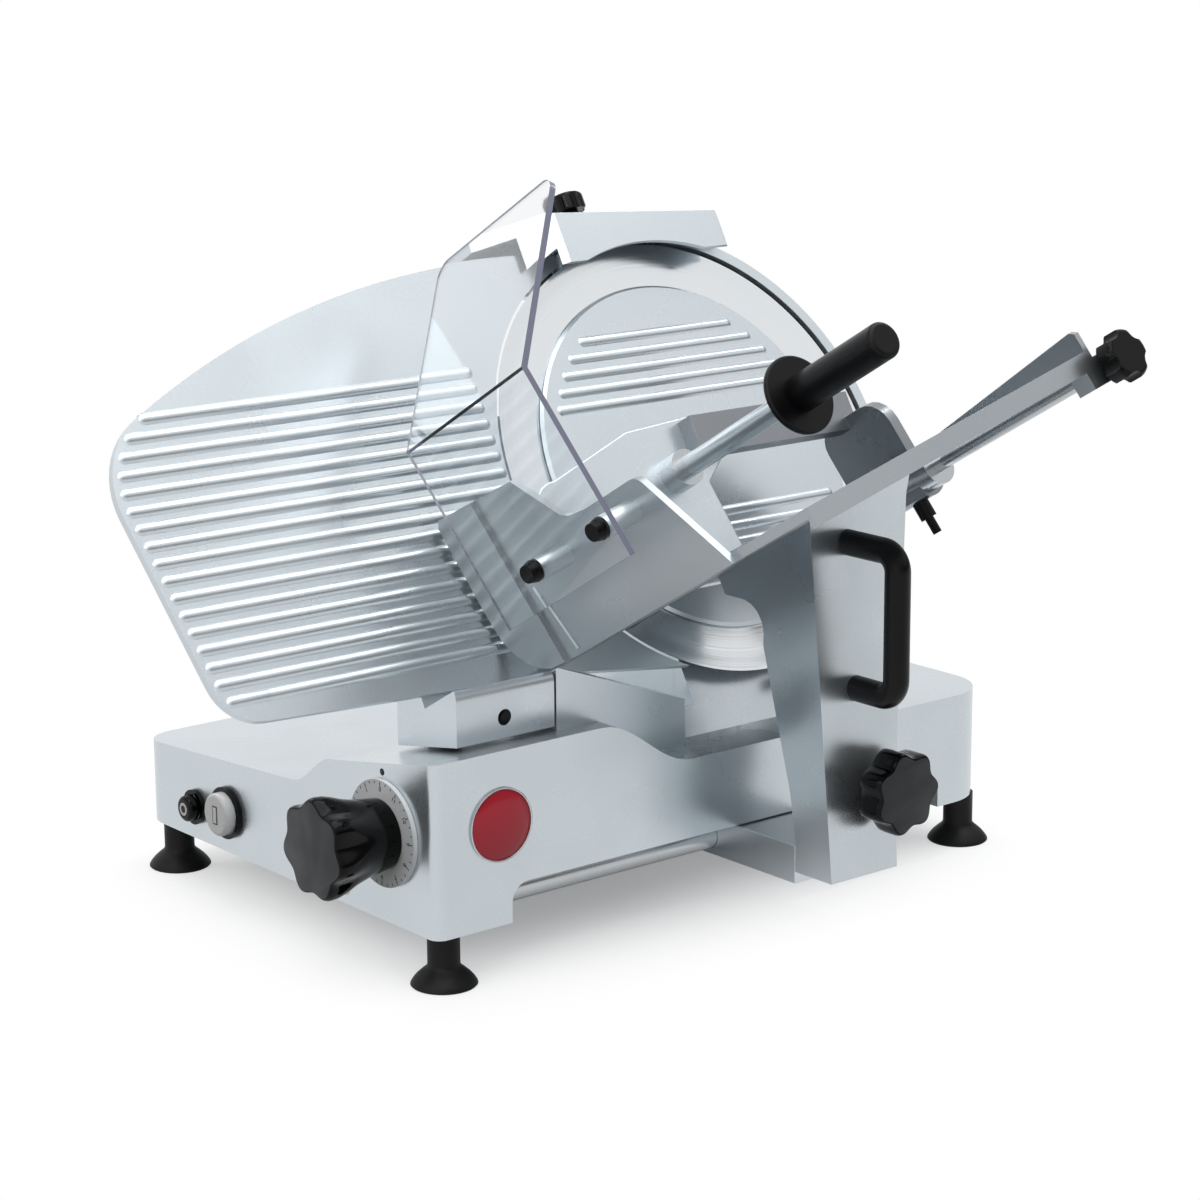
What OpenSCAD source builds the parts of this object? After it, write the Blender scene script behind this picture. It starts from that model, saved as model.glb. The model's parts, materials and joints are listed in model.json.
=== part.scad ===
// Gravity-feed food slicer: tilted round knife, ribbed gauge plate and hand-pushed carriage.
// X runs along the carriage travel, Y from the operator to the slice side, Z up from the counter.

/* [Base] */
// Length of the base casting along the carriage travel
base_len = 468; // [450:1:500]
// Depth of the base casting
base_dep = 330; // [315:1:350]
// Height of the front ridge above the counter
ridge_top = 142; // [138:1:148]
// Height of the deck below the knife
deck_top = 108; // [102:1:112]
// Height of the back edge
back_top = 88; // [84:1:94]
// Wall of the base casting
base_wall = 5; // [4:0.5:6]
// Height of each foot
foot_h = 34; // [30:1:36]
// Radius of a foot on the counter
foot_r = 23.5; // [20:0.5:26]
// Distance of a foot axis from the two faces beside it
foot_inset = 17; // [16:0.5:20]
// Distance from the left face of the base to the middle of the machine
base_to_mid_x = 174.5; // [140:0.5:200]
// Distance from the front face of the base to the middle of the machine
base_to_mid_y = 68.9; // [20:0.5:80]

/* [Knife] */
// Diameter of the knife
knife_d = 300; // [294:1:304]
// Lean of the knife and gauge plate from upright
knife_tilt = 30; // [29:0.5:31]
// Knife centre from the left face of the base
knife_u = 303; // [299:1:307]
// Knife centre from the front face of the base
knife_v = 117; // [115:1:120]
// Knife centre above the counter
knife_h = 271; // [269:1:275]
// Diameter of the knife cover
cover_d = 240; // [220:1:250]
// Diameter of the hollow knife shaft
shaft_d = 24; // [20:1:26]
// Diameter of the tie rod through the shaft
tie_rod_d = 12; // [10:1:13]
// Diameter of the knife pulley
knife_pulley_d = 90; // [80:1:96]
// Diameter of the motor pulley
motor_pulley_d = 36; // [30:1:40]
// Distance from the knife axis to the motor axis
belt_centre = 115; // [112:1:118]
// Diameter of the motor
motor_d = 70; // [60:1:72]

/* [Gauge plate] */
// Thickness of the gauge plate
gauge_t = 5; // [4:0.5:6]
// Number of ribs
gauge_ribs = 17; // [10:1:17]
// Spacing of the ribs
rib_pitch = 11; // [10:0.1:11]
// Height of a rib above the plate
rib_rise = 1.8; // [1.2:0.1:2.2]
// Opening travel of the gauge plate
gauge_travel = 17; // [12:0.5:18]
// Turn of the thickness knob for that travel
knob_turn = 300; // [280:1:305]

/* [Carriage] */
// Width of the tray floor along the travel
tray_w = 265; // [258:1:272]
// Length of the tray floor towards the operator
tray_l = 288; // [280:1:296]
// Cross tilt of the tray
tray_tilt = 14; // [13:0.5:15]
// Thickness of the tray plate
tray_t = 6; // [5:0.5:7]
// Width of the arm at its top
arm_w_top = 84; // [78:1:90]
// Width of the arm at its foot
arm_w_foot = 54; // [50:1:64]
// Diameter of the front guide rod
guide_d = 18; // [16:1:19]
// Diameter of the rear guide rod
guide2_d = 12; // [10:1:14]
// Diameter of the pusher rod
pusher_rod_d = 10; // [8:1:11]
// Diameter of the pusher grip
grip_d = 23; // [20:1:28]
// Diameter of the hand disc
disc_d = 50; // [44:1:56]

/* [Hidden] */
$fn = 48;
fit = 0.05;
gap = 0.3;
cut = 1;
knife_r = knife_d / 2;
cover_r = cover_d / 2;
base_left = -base_to_mid_x;
base_front = -base_to_mid_y;

// Colours of the castings, steels and plastics
alu = [0.78, 0.80, 0.81];
steel = [0.70, 0.72, 0.74];
black = [0.08, 0.08, 0.09];
white = [0.92, 0.92, 0.90];
bronze = [0.66, 0.50, 0.28];

// Points of an arc, and of a smooth step between two heights
function mix(a, b, share) = a + (b - a) * share;
function arc(c, r, a0, a1, n = 12) = [
    for (i = [0:n]) c + r * [cos(mix(a0, a1, i / n)), sin(mix(a0, a1, i / n))]
];
function ease(share) = (1 - cos(180 * share)) / 2;
function step_curve(p, q, n = 12) = [
    for (i = [0:n]) [mix(p[0], q[0], i / n), mix(p[1], q[1], ease(i / n))]
];

// Places: base corner, knife centre (X along travel, Y up the plate, Z towards the operator), tray corner
module at_base() { translate([base_left, base_front, 0]) children(); }
module at_knife() {
    at_base() translate([knife_u, knife_v, knife_h]) rotate([90 - knife_tilt, 0, 0]) children();
}
tray_x = -190;
tray_n = -121;
module at_tray() { at_knife() translate([tray_x, tray_n, 0]) rotate([0, 0, tray_tilt]) children(); }

// Profiles pushed along Y (drawn in X and Z) and along X (drawn in Y and Z)
module along_y(length) { translate([0, length, 0]) rotate([90, 0, 0]) linear_extrude(length) children(); }
module along_x(length) { rotate([90, 0, 90]) linear_extrude(length) children(); }
module tube(r_out, r_in, h) {
    difference() {
        cylinder(r = r_out, h = h);
        translate([0, 0, -cut]) cylinder(r = r_in, h = h + 2 * cut);
    }
}

// Base: plan outline, front profile and side profile cut one solid
ridge_end = 126;
deck_start = 198;
ridge_back = 104;
ridge_back_h = ridge_top - 19;
valley = 150;
valley_h = back_top + 12;
corner_fl = 8;
corner_fr = 38;
corner_br = 26;
corner_bl = 24;
module base_plan(inset) {
    a = inset;
    l = base_len;
    d = base_dep;
    polygon(concat(
        arc([corner_fl, corner_fl], corner_fl - a, 180, 270, 6),
        arc([l - corner_fr, corner_fr], corner_fr - a, 270, 360, 10),
        arc([l - corner_br, d - corner_br], corner_br - a, 0, 90, 8),
        arc([corner_bl, d - corner_bl], corner_bl - a, 90, 180, 8)
    ));
}
module base_form(inset = 0, lift = 0) {
    drop = lift - inset;
    intersection() {
        linear_extrude(ridge_top + drop) base_plan(inset);
        along_y(base_dep) polygon(concat(
            [[0, 0], [0, ridge_top + drop]],
            step_curve([ridge_end, ridge_top + drop], [deck_start, deck_top + 1 + drop]),
            [[base_len, deck_top + drop], [base_len, 0]]
        ));
        along_x(base_len) polygon(concat(
            [[0, 0], [0, ridge_top + drop]],
            step_curve([ridge_back, ridge_back_h + drop], [valley, valley_h + drop]),
            [[base_dep, back_top + drop], [base_dep, 0]]
        ));
    }
}

// Tunnel of the carriage slide through the front of the base
leg_l = 56;
tunnel_top = foot_h + 24;
tunnel_back = 112;
roof_t = 5;
arch_r = 12;
guide_v = 30;
guide_h = foot_h + 10.5;
guide2_v = 92;
rod_seat = 30;
leg_r = leg_l - 2;
module tunnel() {
    l = leg_l;
    r = base_len - leg_r;
    translate([0, -cut, 0]) along_y(tunnel_back + cut) polygon(concat(
        [[l, -cut]],
        arc([l + arch_r, tunnel_top - arch_r], arch_r, 180, 90, 6),
        arc([r - arch_r, tunnel_top - arch_r], arch_r, 90, 0, 6),
        [[r, -cut]]
    ));
}

// Thickness shaft, buttons and gauge slot in the base
knob_v = 50;
knob_h = 90;
bush_r = 9;
shaft_r = 6;
boss_l = 42;
slot_u = 57;
slot_w = 16;
stem_v = 72;
stem_d = 12;
stop_v = 262;
stop_h = 56;
start_v = 224;
start_h = 61;
stop_r = 8.5;
start_r = 14;
plunger_r = 5;
plate_z = foot_h + 3;
plate_t = 3;
foot_boss_r = 15;
foot_pin_r = 5;
foot_pin_h = 16;
gauge_rod_r = 5;
gauge_rod_us = [slot_u - 10, slot_u + slot_w + 10];
gauge_rod_h = 72;
gauge_rod_l = 165;
inner_wall = tunnel_back + base_wall;
gland_u = 380;
gland_h = 62;
gland_r = 9;

function foot_spots() = [
    for (u = [foot_inset, base_len - foot_inset]) for (v = [foot_inset, base_dep - foot_inset]) [u, v]
];

module base_casting() {
    color(alu) at_base() difference() {
        union() {
            difference() {
                intersection() {
                    base_form();
                    translate([0, 0, foot_h]) cube([base_len, base_dep, ridge_top]);
                }
                intersection() {
                    base_form(base_wall);
                    union() {
                        translate([0, inner_wall, -cut]) cube([base_len, base_dep, ridge_top]);
                        translate([0, 0, tunnel_top + roof_t]) cube([base_len, inner_wall + cut, ridge_top]);
                    }
                }
            }
            intersection() {
                base_form();
                union() {
                    for (p = foot_spots()) translate([p[0], p[1], foot_h]) cylinder(r = foot_boss_r, h = 30);
                    translate([0, knob_v, knob_h]) rotate([0, 90, 0]) cylinder(r = bush_r + 5, h = boss_l);
                    for (u = gauge_rod_us) translate([u, 0, gauge_rod_h]) rotate([-90, 0, 0])
                        cylinder(r = gauge_rod_r + 4, h = base_wall + 6);
                    translate([slot_u - 20, gauge_rod_l - 12, tunnel_top]) cube([slot_w + 40, 10, ridge_top]);
                }
            }
        }
        tunnel();
        for (u = gauge_rod_us) translate([u, base_wall - 2, gauge_rod_h]) rotate([-90, 0, 0])
            cylinder(r = gauge_rod_r, h = gauge_rod_l);
        translate([-cut, knob_v, knob_h]) rotate([0, 90, 0]) cylinder(r = bush_r, h = boss_l + 2 * cut);
        for (p = [[stop_v, stop_h], [start_v, start_h]]) translate([-cut, p[0], p[1]]) rotate([0, 90, 0])
            cylinder(r = plunger_r + gap, h = base_wall + 2 * cut);
        translate([slot_u - 1, stem_v - 2, tunnel_top + roof_t])
            cube([slot_w + 2, stem_d + gauge_travel + 4, ridge_top]);
        translate([leg_l - rod_seat, guide_v, guide_h]) rotate([0, 90, 0])
            cylinder(r = guide_d / 2, h = base_len - leg_l - leg_r + 2 * rod_seat);
        translate([leg_l - rod_seat, guide2_v, guide_h]) rotate([0, 90, 0])
            cylinder(r = guide2_d / 2, h = base_len - leg_l - leg_r + 2 * rod_seat);
        for (p = foot_spots()) translate([p[0], p[1], foot_h - cut])
            cylinder(r = foot_pin_r, h = foot_pin_h + cut);
        translate([gland_u, base_dep + cut, gland_h]) rotate([90, 0, 0])
            cylinder(r = gland_r, h = base_wall + 2 * cut);
        translate([knife_u, knife_v, knife_h]) rotate([90 - knife_tilt, 0, 0])
            translate([0, -belt_centre, 5 - hump_back])
                cylinder(r = motor_d / 2 + 1, h = hump_back - hub_back - 3);
    }
}

module bottom_plate() {
    color(steel) at_base() difference() {
        intersection() {
            linear_extrude(plate_z + plate_t) base_plan(base_wall);
            translate([0, inner_wall, plate_z]) cube([base_len, base_dep, plate_t]);
        }
        for (p = foot_spots()) translate([p[0], p[1], plate_z - cut])
            cylinder(r = foot_boss_r + 0.2, h = plate_t + 2 * cut);
    }
}

module rubber_feet() {
    neck = 14;
    color(black) at_base() for (p = foot_spots()) translate([p[0], p[1], 0]) {
        rotate_extrude() polygon(concat(
            [[0, 0], [foot_r - 2, 0], [foot_r, 2], [foot_r, 5]],
            arc([foot_r - 1, 18], 12, 265, 190, 6),
            [[neck - 4, foot_h - 8], [neck, foot_h - 6], [neck, foot_h], [0, foot_h]]
        ));
        cylinder(r = foot_pin_r - fit, h = foot_h + foot_pin_h - 1);
    }
}

module cord_gland() {
    color(black) at_base() translate([gland_u, base_dep + 4, gland_h]) rotate([90, 0, 0]) difference() {
        union() {
            cylinder(r = gland_r - fit, h = base_wall + 6);
            cylinder(r = gland_r + 4, h = 4, $fn = 6);
        }
        translate([0, 0, -cut]) cylinder(r = 4, h = base_wall + 20);
    }
}

// Buttons
bezel_t = 3;
button_out = 8;
press = 3;
cap_l = button_out - 1 - gap;
module bezel(v, h, r) {
    color(black) at_base() translate([-bezel_t, v, h]) rotate([0, 90, 0]) tube(r + 3, r + gap, bezel_t);
}
module button(v, h, r) {
    at_base() translate([-bezel_t - button_out + 1, v, h]) rotate([0, 90, 0]) {
        rotate_extrude() polygon(concat(
            [[0, 0]],
            arc([r - 2.5, 2.5], 2.5, -90, 0, 5),
            [[r, cap_l], [0, cap_l]]
        ));
        cylinder(r = plunger_r, h = bezel_t + button_out - 1 + base_wall + 4);
    }
}
module stop_bezel() { bezel(stop_v, stop_h, stop_r); }
module start_bezel() { bezel(start_v, start_h, start_r); }
module stop_button() { color(black) button(stop_v, stop_h, stop_r); }
module start_button() { color(white) button(start_v, start_h, start_r); }
module switch_block() {
    depth = 28;
    v0 = start_v - 18;
    v1 = stop_v + 14;
    z0 = plate_z + plate_t;
    color([0.25, 0.25, 0.27]) at_base() difference() {
        translate([base_wall, v0, z0]) cube([depth, v1 - v0, 40]);
        for (p = [[stop_v, stop_h], [start_v, start_h]]) translate([base_wall - cut, p[0], p[1]])
            rotate([0, 90, 0]) cylinder(r = plunger_r + gap, h = 4 + press + gap + 2 * cut);
    }
}

// Thickness control: lobed knob, dial, shaft, bush and a spiral cam that pushes the gauge slider
knob_r = 31.5;
knob_base_r = 25;
knob_l = 50;
dial_r = 33;
dial_t = 3;
knob_lobes = 7;
knob_seat = 25;
cam_u = slot_u + 3;
cam_t = 10;
cam_r0 = 10;
nose_r = 4;
nose_gap = 0.4;
nose_v = knob_v + cam_r0 + nose_r + nose_gap;
module at_knob() { at_base() translate([0, knob_v, knob_h]) rotate([0, -90, 0]) children(); }
module thickness_knob() {
    color(black) at_knob() translate([0, 0, dial_t + gap]) difference() {
        union() {
            cylinder(r1 = knob_base_r, r2 = knob_r - 2, h = knob_l - 14);
            translate([0, 0, knob_l - 14]) rotate_extrude() polygon(concat(
                [[0, 0], [knob_r - 2, 0], [knob_r, 3]],
                arc([knob_r - 4, 10], 4, 0, 90, 5),
                [[0, 14]]
            ));
        }
        for (i = [0:knob_lobes - 1]) rotate([0, 0, (i + 0.5) * 360 / knob_lobes])
            translate([knob_r + 6, 0, knob_l - 24]) cylinder(r = 10, h = 30);
        translate([0, 0, -cut]) cylinder(r = shaft_r, h = knob_seat + 1 + cut);
    }
}
module dial_disc() { color(white) at_knob() translate([0, 0, gap]) tube(dial_r, shaft_r, dial_t); }
module thickness_shaft() {
    tail = cam_u + cam_t;
    color(steel) at_knob() translate([0, 0, -tail])
        cylinder(r = shaft_r - 0.01, h = tail + gap + dial_t + knob_seat);
}
module shaft_bush() {
    color(bronze) at_base() translate([0, knob_v, knob_h]) rotate([0, 90, 0])
        tube(bush_r - 0.01, shaft_r + fit, boss_l);
}
function cam_point(a) = (cam_r0 + gauge_travel * (180 - a) / knob_turn) * [-cos(a), sin(a)];
module spiral_cam() {
    color(steel) at_base() translate([cam_u, knob_v, knob_h]) along_x(cam_t) difference() {
        polygon(concat(
            [for (a = [180:-6:180 - knob_turn]) cam_point(a)],
            [for (a = [195:-5:185]) cam_r0 * [-cos(a), sin(a)]]
        ));
        circle(r = shaft_r);
    }
}

// Gauge plate outline about the knife centre
gauge_slot = knife_r + 2;
top_r = 603;
top_c = [-110, knife_r - top_r];
left_c = [-373.5, 27.5];
left_r = 55;
low_c = [-376, -84];
low_r = 32;
gauge_low = 124.5;
module gauge_outline() {
    polygon(concat(
        arc(top_c, top_r, 85.2, 118.7, 20),
        arc(left_c, left_r, 122, 190, 10),
        arc(low_c, low_r, 190, 267, 8),
        [[-knife_r - 15, -gauge_low]],
        arc([0, 0], gauge_slot, 244.4, 112.5, 30)
    ));
}
rib_top = 75;
rib_r = 5;
rib_stop = gauge_slot + 4;
function rib_start(n) = n > left_c[1]
    ? left_c[0] - sqrt(left_r * left_r - (n - left_c[1]) * (n - left_c[1])) + 16
    : -406 + 0.176 * (left_c[1] - n) + max(0, (-n - 84) * 0.8);
module gauge_plate() {
    color(alu) at_knife() {
        translate([0, 0, -gauge_t]) linear_extrude(gauge_t) gauge_outline();
        for (i = [0:gauge_ribs - 1]) {
            n = rib_top - i * rib_pitch;
            rib_l = -rib_stop - rib_start(n);
            translate([rib_start(n), n, rib_rise - rib_r]) rotate([0, 90, 0]) rib(rib_l, rib_rise + 1);
        }
    }
}
module rib(length, rise) {
    intersection() {
        union() {
            cylinder(r = rib_r, h = length);
            sphere(r = rib_r);
            translate([0, 0, length]) sphere(r = rib_r);
        }
        translate([-2 * rib_r, -rib_r, -rib_r]) cube([rib_r + rise, 2 * rib_r, length + 2 * rib_r]);
    }
}

// Carrier block on the base top: a lug behind the plate holds it, the top clears the tray
block_u = 36;
block_w = 74;
block_v = 26;
block_d = 60;
block_gap = 3;
block_top = 177;
wedge_end = 214;
wedge_low = 139;
wedge_n = -144;
tray_clear_n = tray_n - tray_t - 0.5;
module below_tray() {
    difference() {
        children();
        at_knife() translate([-600, tray_clear_n, -gauge_t]) cube([1200, 300, 400]);
    }
}
module gauge_block() {
    edge = 9;
    color(alu) {
        difference() {
            below_tray() at_base() {
                translate([block_u, 0, 0]) along_x(block_w) polygon(concat(
                    [[block_v, deck_top], [block_v + block_d, deck_top], [block_v + block_d, block_top]],
                    arc([block_v + edge, block_top - edge], edge, 90, 180, 6)
                ));
            }
            at_base() base_form(0, block_gap);
            at_base() translate([block_u + block_w - 38, block_v - cut, block_top - 24]) rotate([-90, 0, 0])
                cylinder(r = 5, h = 8);
        }
    }
}
module gauge_slider() {
    z0 = gauge_rod_h - 9;
    color(steel) at_base() difference() {
        union() {
            intersection() {
                translate([slot_u, stem_v, z0]) cube([slot_w, stem_d, ridge_top]);
                base_form(0, block_gap);
            }
            translate([gauge_rod_us[0] - 9, stem_v, z0])
                cube([gauge_rod_us[1] - gauge_rod_us[0] + 18, 30, 18]);
            translate([cam_u, nose_v, knob_h]) rotate([0, 90, 0]) cylinder(r = nose_r, h = cam_t);
            translate([cam_u, nose_v, knob_h - 3]) cube([cam_t, 12, 6]);
        }
        for (u = gauge_rod_us) translate([u, 0, gauge_rod_h]) rotate([-90, 0, 0])
            cylinder(r = gauge_rod_r + fit, h = base_dep);
    }
}
module gauge_guide_rods() {
    color(steel) at_base() for (u = gauge_rod_us) translate([u, base_wall - 2, gauge_rod_h])
        rotate([-90, 0, 0]) cylinder(r = gauge_rod_r - 0.01, h = gauge_rod_l - base_wall);
}
module wedge_casting() {
    color(alu) difference() {
        below_tray() at_base() translate([0, block_v, 0]) along_y(block_d) polygon([
            [block_u + block_w + 1.5, tunnel_top], [block_u + block_w + 1.5, block_top],
            [wedge_end, wedge_low], [wedge_end + 2, tunnel_top]
        ]);
        at_knife() translate([-600, wedge_n, -400]) cube([1200, 600, 401]);
        at_base() base_form();
        at_knife() translate([-knife_r - 2, wedge_n + 8, 8]) rotate([0, 0, -10]) cube([38, 20, 10]);
    }
}

// Knife housing: hub, belt column, ring guard, motor hump and the saddle below the knife
hub_r = 62;
hub_front = 14;
hub_back = 66;
belt_front = 42;
belt_back = 60;
belt_room = 54;
carrier_seat = 20;
hump_back = 172;
hump_r = motor_d / 2 + 9;
ring_out = knife_r + 10;
ring_in = knife_r + 2.5;
ring_start = 48;
ring_end = 100;
saddle_u0 = 217;
saddle_u1 = 400;
saddle_v = 6;
saddle_r = 54;
module ring_part(inner) {
    far = ring_out + 60;
    intersection() {
        difference() {
            circle(r = ring_out, $fn = 96);
            circle(r = inner, $fn = 96);
        }
        polygon([
            [-ring_start, far], [far, far], [far, -far], [10, -far], [10, -ring_end], [-ring_start, 0]
        ]);
    }
}
module knife_housing() {
    color(alu) difference() {
        union() {
            at_knife() {
                translate([0, 0, -hub_back]) cylinder(r = hub_r, h = hub_back - hub_front);
                translate([-hub_r, -205, -hub_back]) cube([2 * hub_r, 205, hub_back - hub_front]);
                translate([0, 0, -hub_front - 1]) linear_extrude(6) ring_part(hub_r - 4);
                translate([0, 0, -12]) linear_extrude(14) ring_part(ring_in);
                translate([0, -belt_centre, -hump_back]) cylinder(r = hump_r, h = hump_back - hub_back + 1);
                translate([post_x - 14, 50, -40]) cube([28, knife_r - 80, 24]);
            }
            intersection() {
                at_knife() translate([-hump_r, -belt_centre - 120, -hump_back])
                    cube([2 * hump_r, 120, hump_back - hub_back + 1]);
                at_base() translate([0, 60, 0]) cube([base_len, base_dep - 70, 200]);
            }
            difference() {
                at_base() translate([saddle_u0, saddle_v, 0]) along_x(saddle_u1 - saddle_u0) difference() {
                    square([saddle_r + 8, deck_top + saddle_r]);
                    translate([0, deck_top + saddle_r]) circle(r = saddle_r, $fn = 64);
                }
                at_base() translate([saddle_u0 - cut, 0, deck_top + 18])
                    cube([knife_u - hub_r - saddle_u0 + cut, 200, 100]);
                at_knife() translate([-300, -400, -13]) cube([600, 800, 200]);
            }
        }
        at_knife() {
            translate([0, 0, -belt_back]) capsule(belt_room, belt_back - carrier_seat);
            translate([0, 0, -carrier_seat]) capsule(belt_room + 4, carrier_seat);
            translate([0, -belt_centre, -hump_back + 6])
                cylinder(r = motor_d / 2 + gap, h = hump_back - hub_back - 6);
            translate([0, -belt_centre, -hub_back - 1]) cylinder(r = 14, h = 12);
            translate([0, 0, -hub_back - 1]) cylinder(r = tie_rod_d / 2 + 0.01, h = 12);
            translate([post_x, post_n0, post_z]) rotate([-90, 0, 0]) cylinder(r = post_r, h = 60);
        }
        at_base() base_form();
    }
}

// Bearing carrier closes the belt room in front and holds the two bearings
bearing_r = shaft_d / 2 + 9;
bearing_w = 10;
tube_r = bearing_r + 5;
tube_back = 40;
module capsule(r, h) {
    cylinder(r = r, h = h);
    translate([0, -belt_centre, 0]) cylinder(r = r, h = h);
    translate([-r, -belt_centre, 0]) cube([2 * r, belt_centre, h]);
}
module bearing_carrier() {
    color(alu) at_knife() difference() {
        union() {
            translate([0, 0, -carrier_seat]) capsule(belt_room + 3.98, carrier_seat - hub_front);
            translate([0, 0, -tube_back]) cylinder(r = tube_r, h = tube_back - hub_front);
        }
        translate([0, 0, -tube_back - cut]) cylinder(r = bearing_r, h = tube_back + 2 * cut);
    }
}
module bearing(z) {
    color(steel) at_knife() translate([0, 0, z]) tube(bearing_r - 0.02, shaft_d / 2 + fit, bearing_w);
}
module front_bearing() { bearing(-hub_front - bearing_w - 1); }
module rear_bearing() { bearing(-tube_back + 1); }
flange_r = 46;
knife_back = 4;
module knife_shaft() {
    color(steel) at_knife() difference() {
        union() {
            translate([0, 0, 2 - belt_back]) cylinder(r = shaft_d / 2 - 0.01, h = belt_back - 2 - knife_back);
            translate([0, 0, -knife_back - 5]) cylinder(r = flange_r, h = 5);
            translate([0, 0, -hub_front + 1]) cylinder(r = shaft_d / 2 + 4, h = hub_front - knife_back - 1);
        }
        translate([0, 0, -80]) cylinder(r = tie_rod_d / 2 + 0.4, h = 100);
        knife_screw_holes(3.5, -knife_back - 9);
    }
}
screw_ring = 34;
module knife_screw_holes(r, z) {
    for (a = [45:90:315]) rotate([0, 0, a]) translate([screw_ring, 0, z]) cylinder(r = r, h = 30);
}
module knife() {
    bevel = 14;
    color([0.86, 0.87, 0.88]) at_knife() difference() {
        rotate_extrude($fn = 96) polygon([
            [tie_rod_d / 2 + 3, -knife_back], [tie_rod_d / 2 + 3, -1.8], [knife_r - bevel, -1.8],
            [knife_r, -0.2], [knife_r, -0.6], [knife_r - bevel, -knife_back]
        ]);
        knife_screw_holes(3.5, -knife_back - 9);
    }
}
module knife_screws() {
    color(steel) at_knife() for (a = [45:90:315]) rotate([0, 0, a])
        translate([screw_ring, 0, -knife_back - 5]) cylinder(r = 3.5 - 0.01, h = 5 + knife_back - 1.9);
}
belt_w = 12;
belt_t = 2.5;
module knife_pulley() {
    color(steel) at_knife() translate([0, 0, -belt_back + 2]) tube(knife_pulley_d / 2, shaft_d / 2, 14);
}
module drive_belt() {
    r1 = knife_pulley_d / 2 + gap;
    r2 = motor_pulley_d / 2 + gap;
    lean = asin((r1 - r2) / belt_centre);
    color(black) at_knife() translate([0, 0, -belt_back + 3]) linear_extrude(belt_w) difference() {
        belt_line(r1 + belt_t, r2 + belt_t, lean);
        belt_line(r1, r2, lean);
    }
}
module belt_line(r1, r2, lean) {
    polygon(concat(
        arc([0, 0], r1, -lean, 180 + lean, 32),
        arc([0, -belt_centre], r2, 180 + lean, 360 - lean, 20)
    ));
}
module motor_pulley() {
    color(steel) at_knife() translate([0, -belt_centre, -belt_back + 2]) tube(motor_pulley_d / 2, 6, 14);
}
module motor_shaft() {
    color(steel) at_knife() translate([0, -belt_centre, -hub_back - 20]) cylinder(r = 6 - 0.01, h = 40);
}
module motor() {
    color([0.30, 0.32, 0.34]) at_knife() translate([0, -belt_centre, -hump_back + 6.5]) difference() {
        cylinder(r = motor_d / 2, h = hump_back - hub_back - 6.5);
        translate([0, 0, hump_back - hub_back - 30]) cylinder(r = 6 + fit, h = 40);
    }
}

// Knife cover with ribs, its tie rod through the hollow shaft and the rear knob
cover_back = -1;
cover_front = 2;
cover_rib = 1.4;
cover_rib_n = 42;
module knife_cover() {
    color(alu) at_knife() {
        translate([0, 0, cover_back]) rotate_extrude($fn = 96) polygon([
            [0, 0], [cover_r - 1, 0], [cover_r, 1],
            [cover_r - 2, cover_front - cover_back], [0, cover_front - cover_back]
        ]);
        for (side = [-1, 1]) for (i = [0:4]) {
            n = side * (cover_rib_n + i * rib_pitch);
            half = sqrt((cover_r - 14) * (cover_r - 14) - n * n);
            translate([-half, n, cover_front + cover_rib - rib_r]) rotate([0, 90, 0])
                rib(2 * half, cover_rib + 0.5);
        }
    }
}
tie_end = 26;
module cover_tie_rod() {
    color(steel) at_knife() translate([0, 0, -hub_back - tie_end])
        cylinder(r = tie_rod_d / 2, h = hub_back + tie_end + cover_back);
}
module lobed(r, h, lobes, bite) {
    difference() {
        rotate_extrude() polygon(concat(
            [[0, 0], [r - 1, 0], [r, 1]],
            arc([r - 3, h - 3], 3, 0, 90, 4),
            [[0, h]]
        ));
        for (i = [0:lobes - 1]) rotate([0, 0, (i + 0.5) * 360 / lobes])
            translate([r + bite * 0.5, 0, -cut]) cylinder(r = bite, h = h + 2 * cut);
    }
}
module cover_knob() {
    color(black) at_knife() translate([0, 0, -hub_back - gap]) rotate([180, 0, 0]) difference() {
        union() {
            cylinder(r = 12, h = 9);
            translate([0, 0, 8]) lobed(22, 20, 6, 9);
        }
        translate([0, 0, -cut]) cylinder(r = tie_rod_d / 2 + fit, h = tie_end + 0.2 + cut);
    }
}
deflector_x = 118;
deflector_n = 40;
deflector_w = 96;
deflector_l = 110;
module slice_deflector() {
    color(steel) at_knife() {
        translate([0, 0, -hub_back - 14]) linear_extrude(2) difference() {
            translate([-deflector_x, -deflector_n]) square([deflector_w, deflector_l]);
            circle(r = 26);
        }
        translate([-deflector_x, -deflector_n, -hub_back - 34]) cube([2, deflector_l, 21]);
        for (n = [10 - deflector_n, 34]) translate([-deflector_n, n, -hub_back - 12.01])
            cylinder(r = 5, h = 12.01);
    }
}

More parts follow.
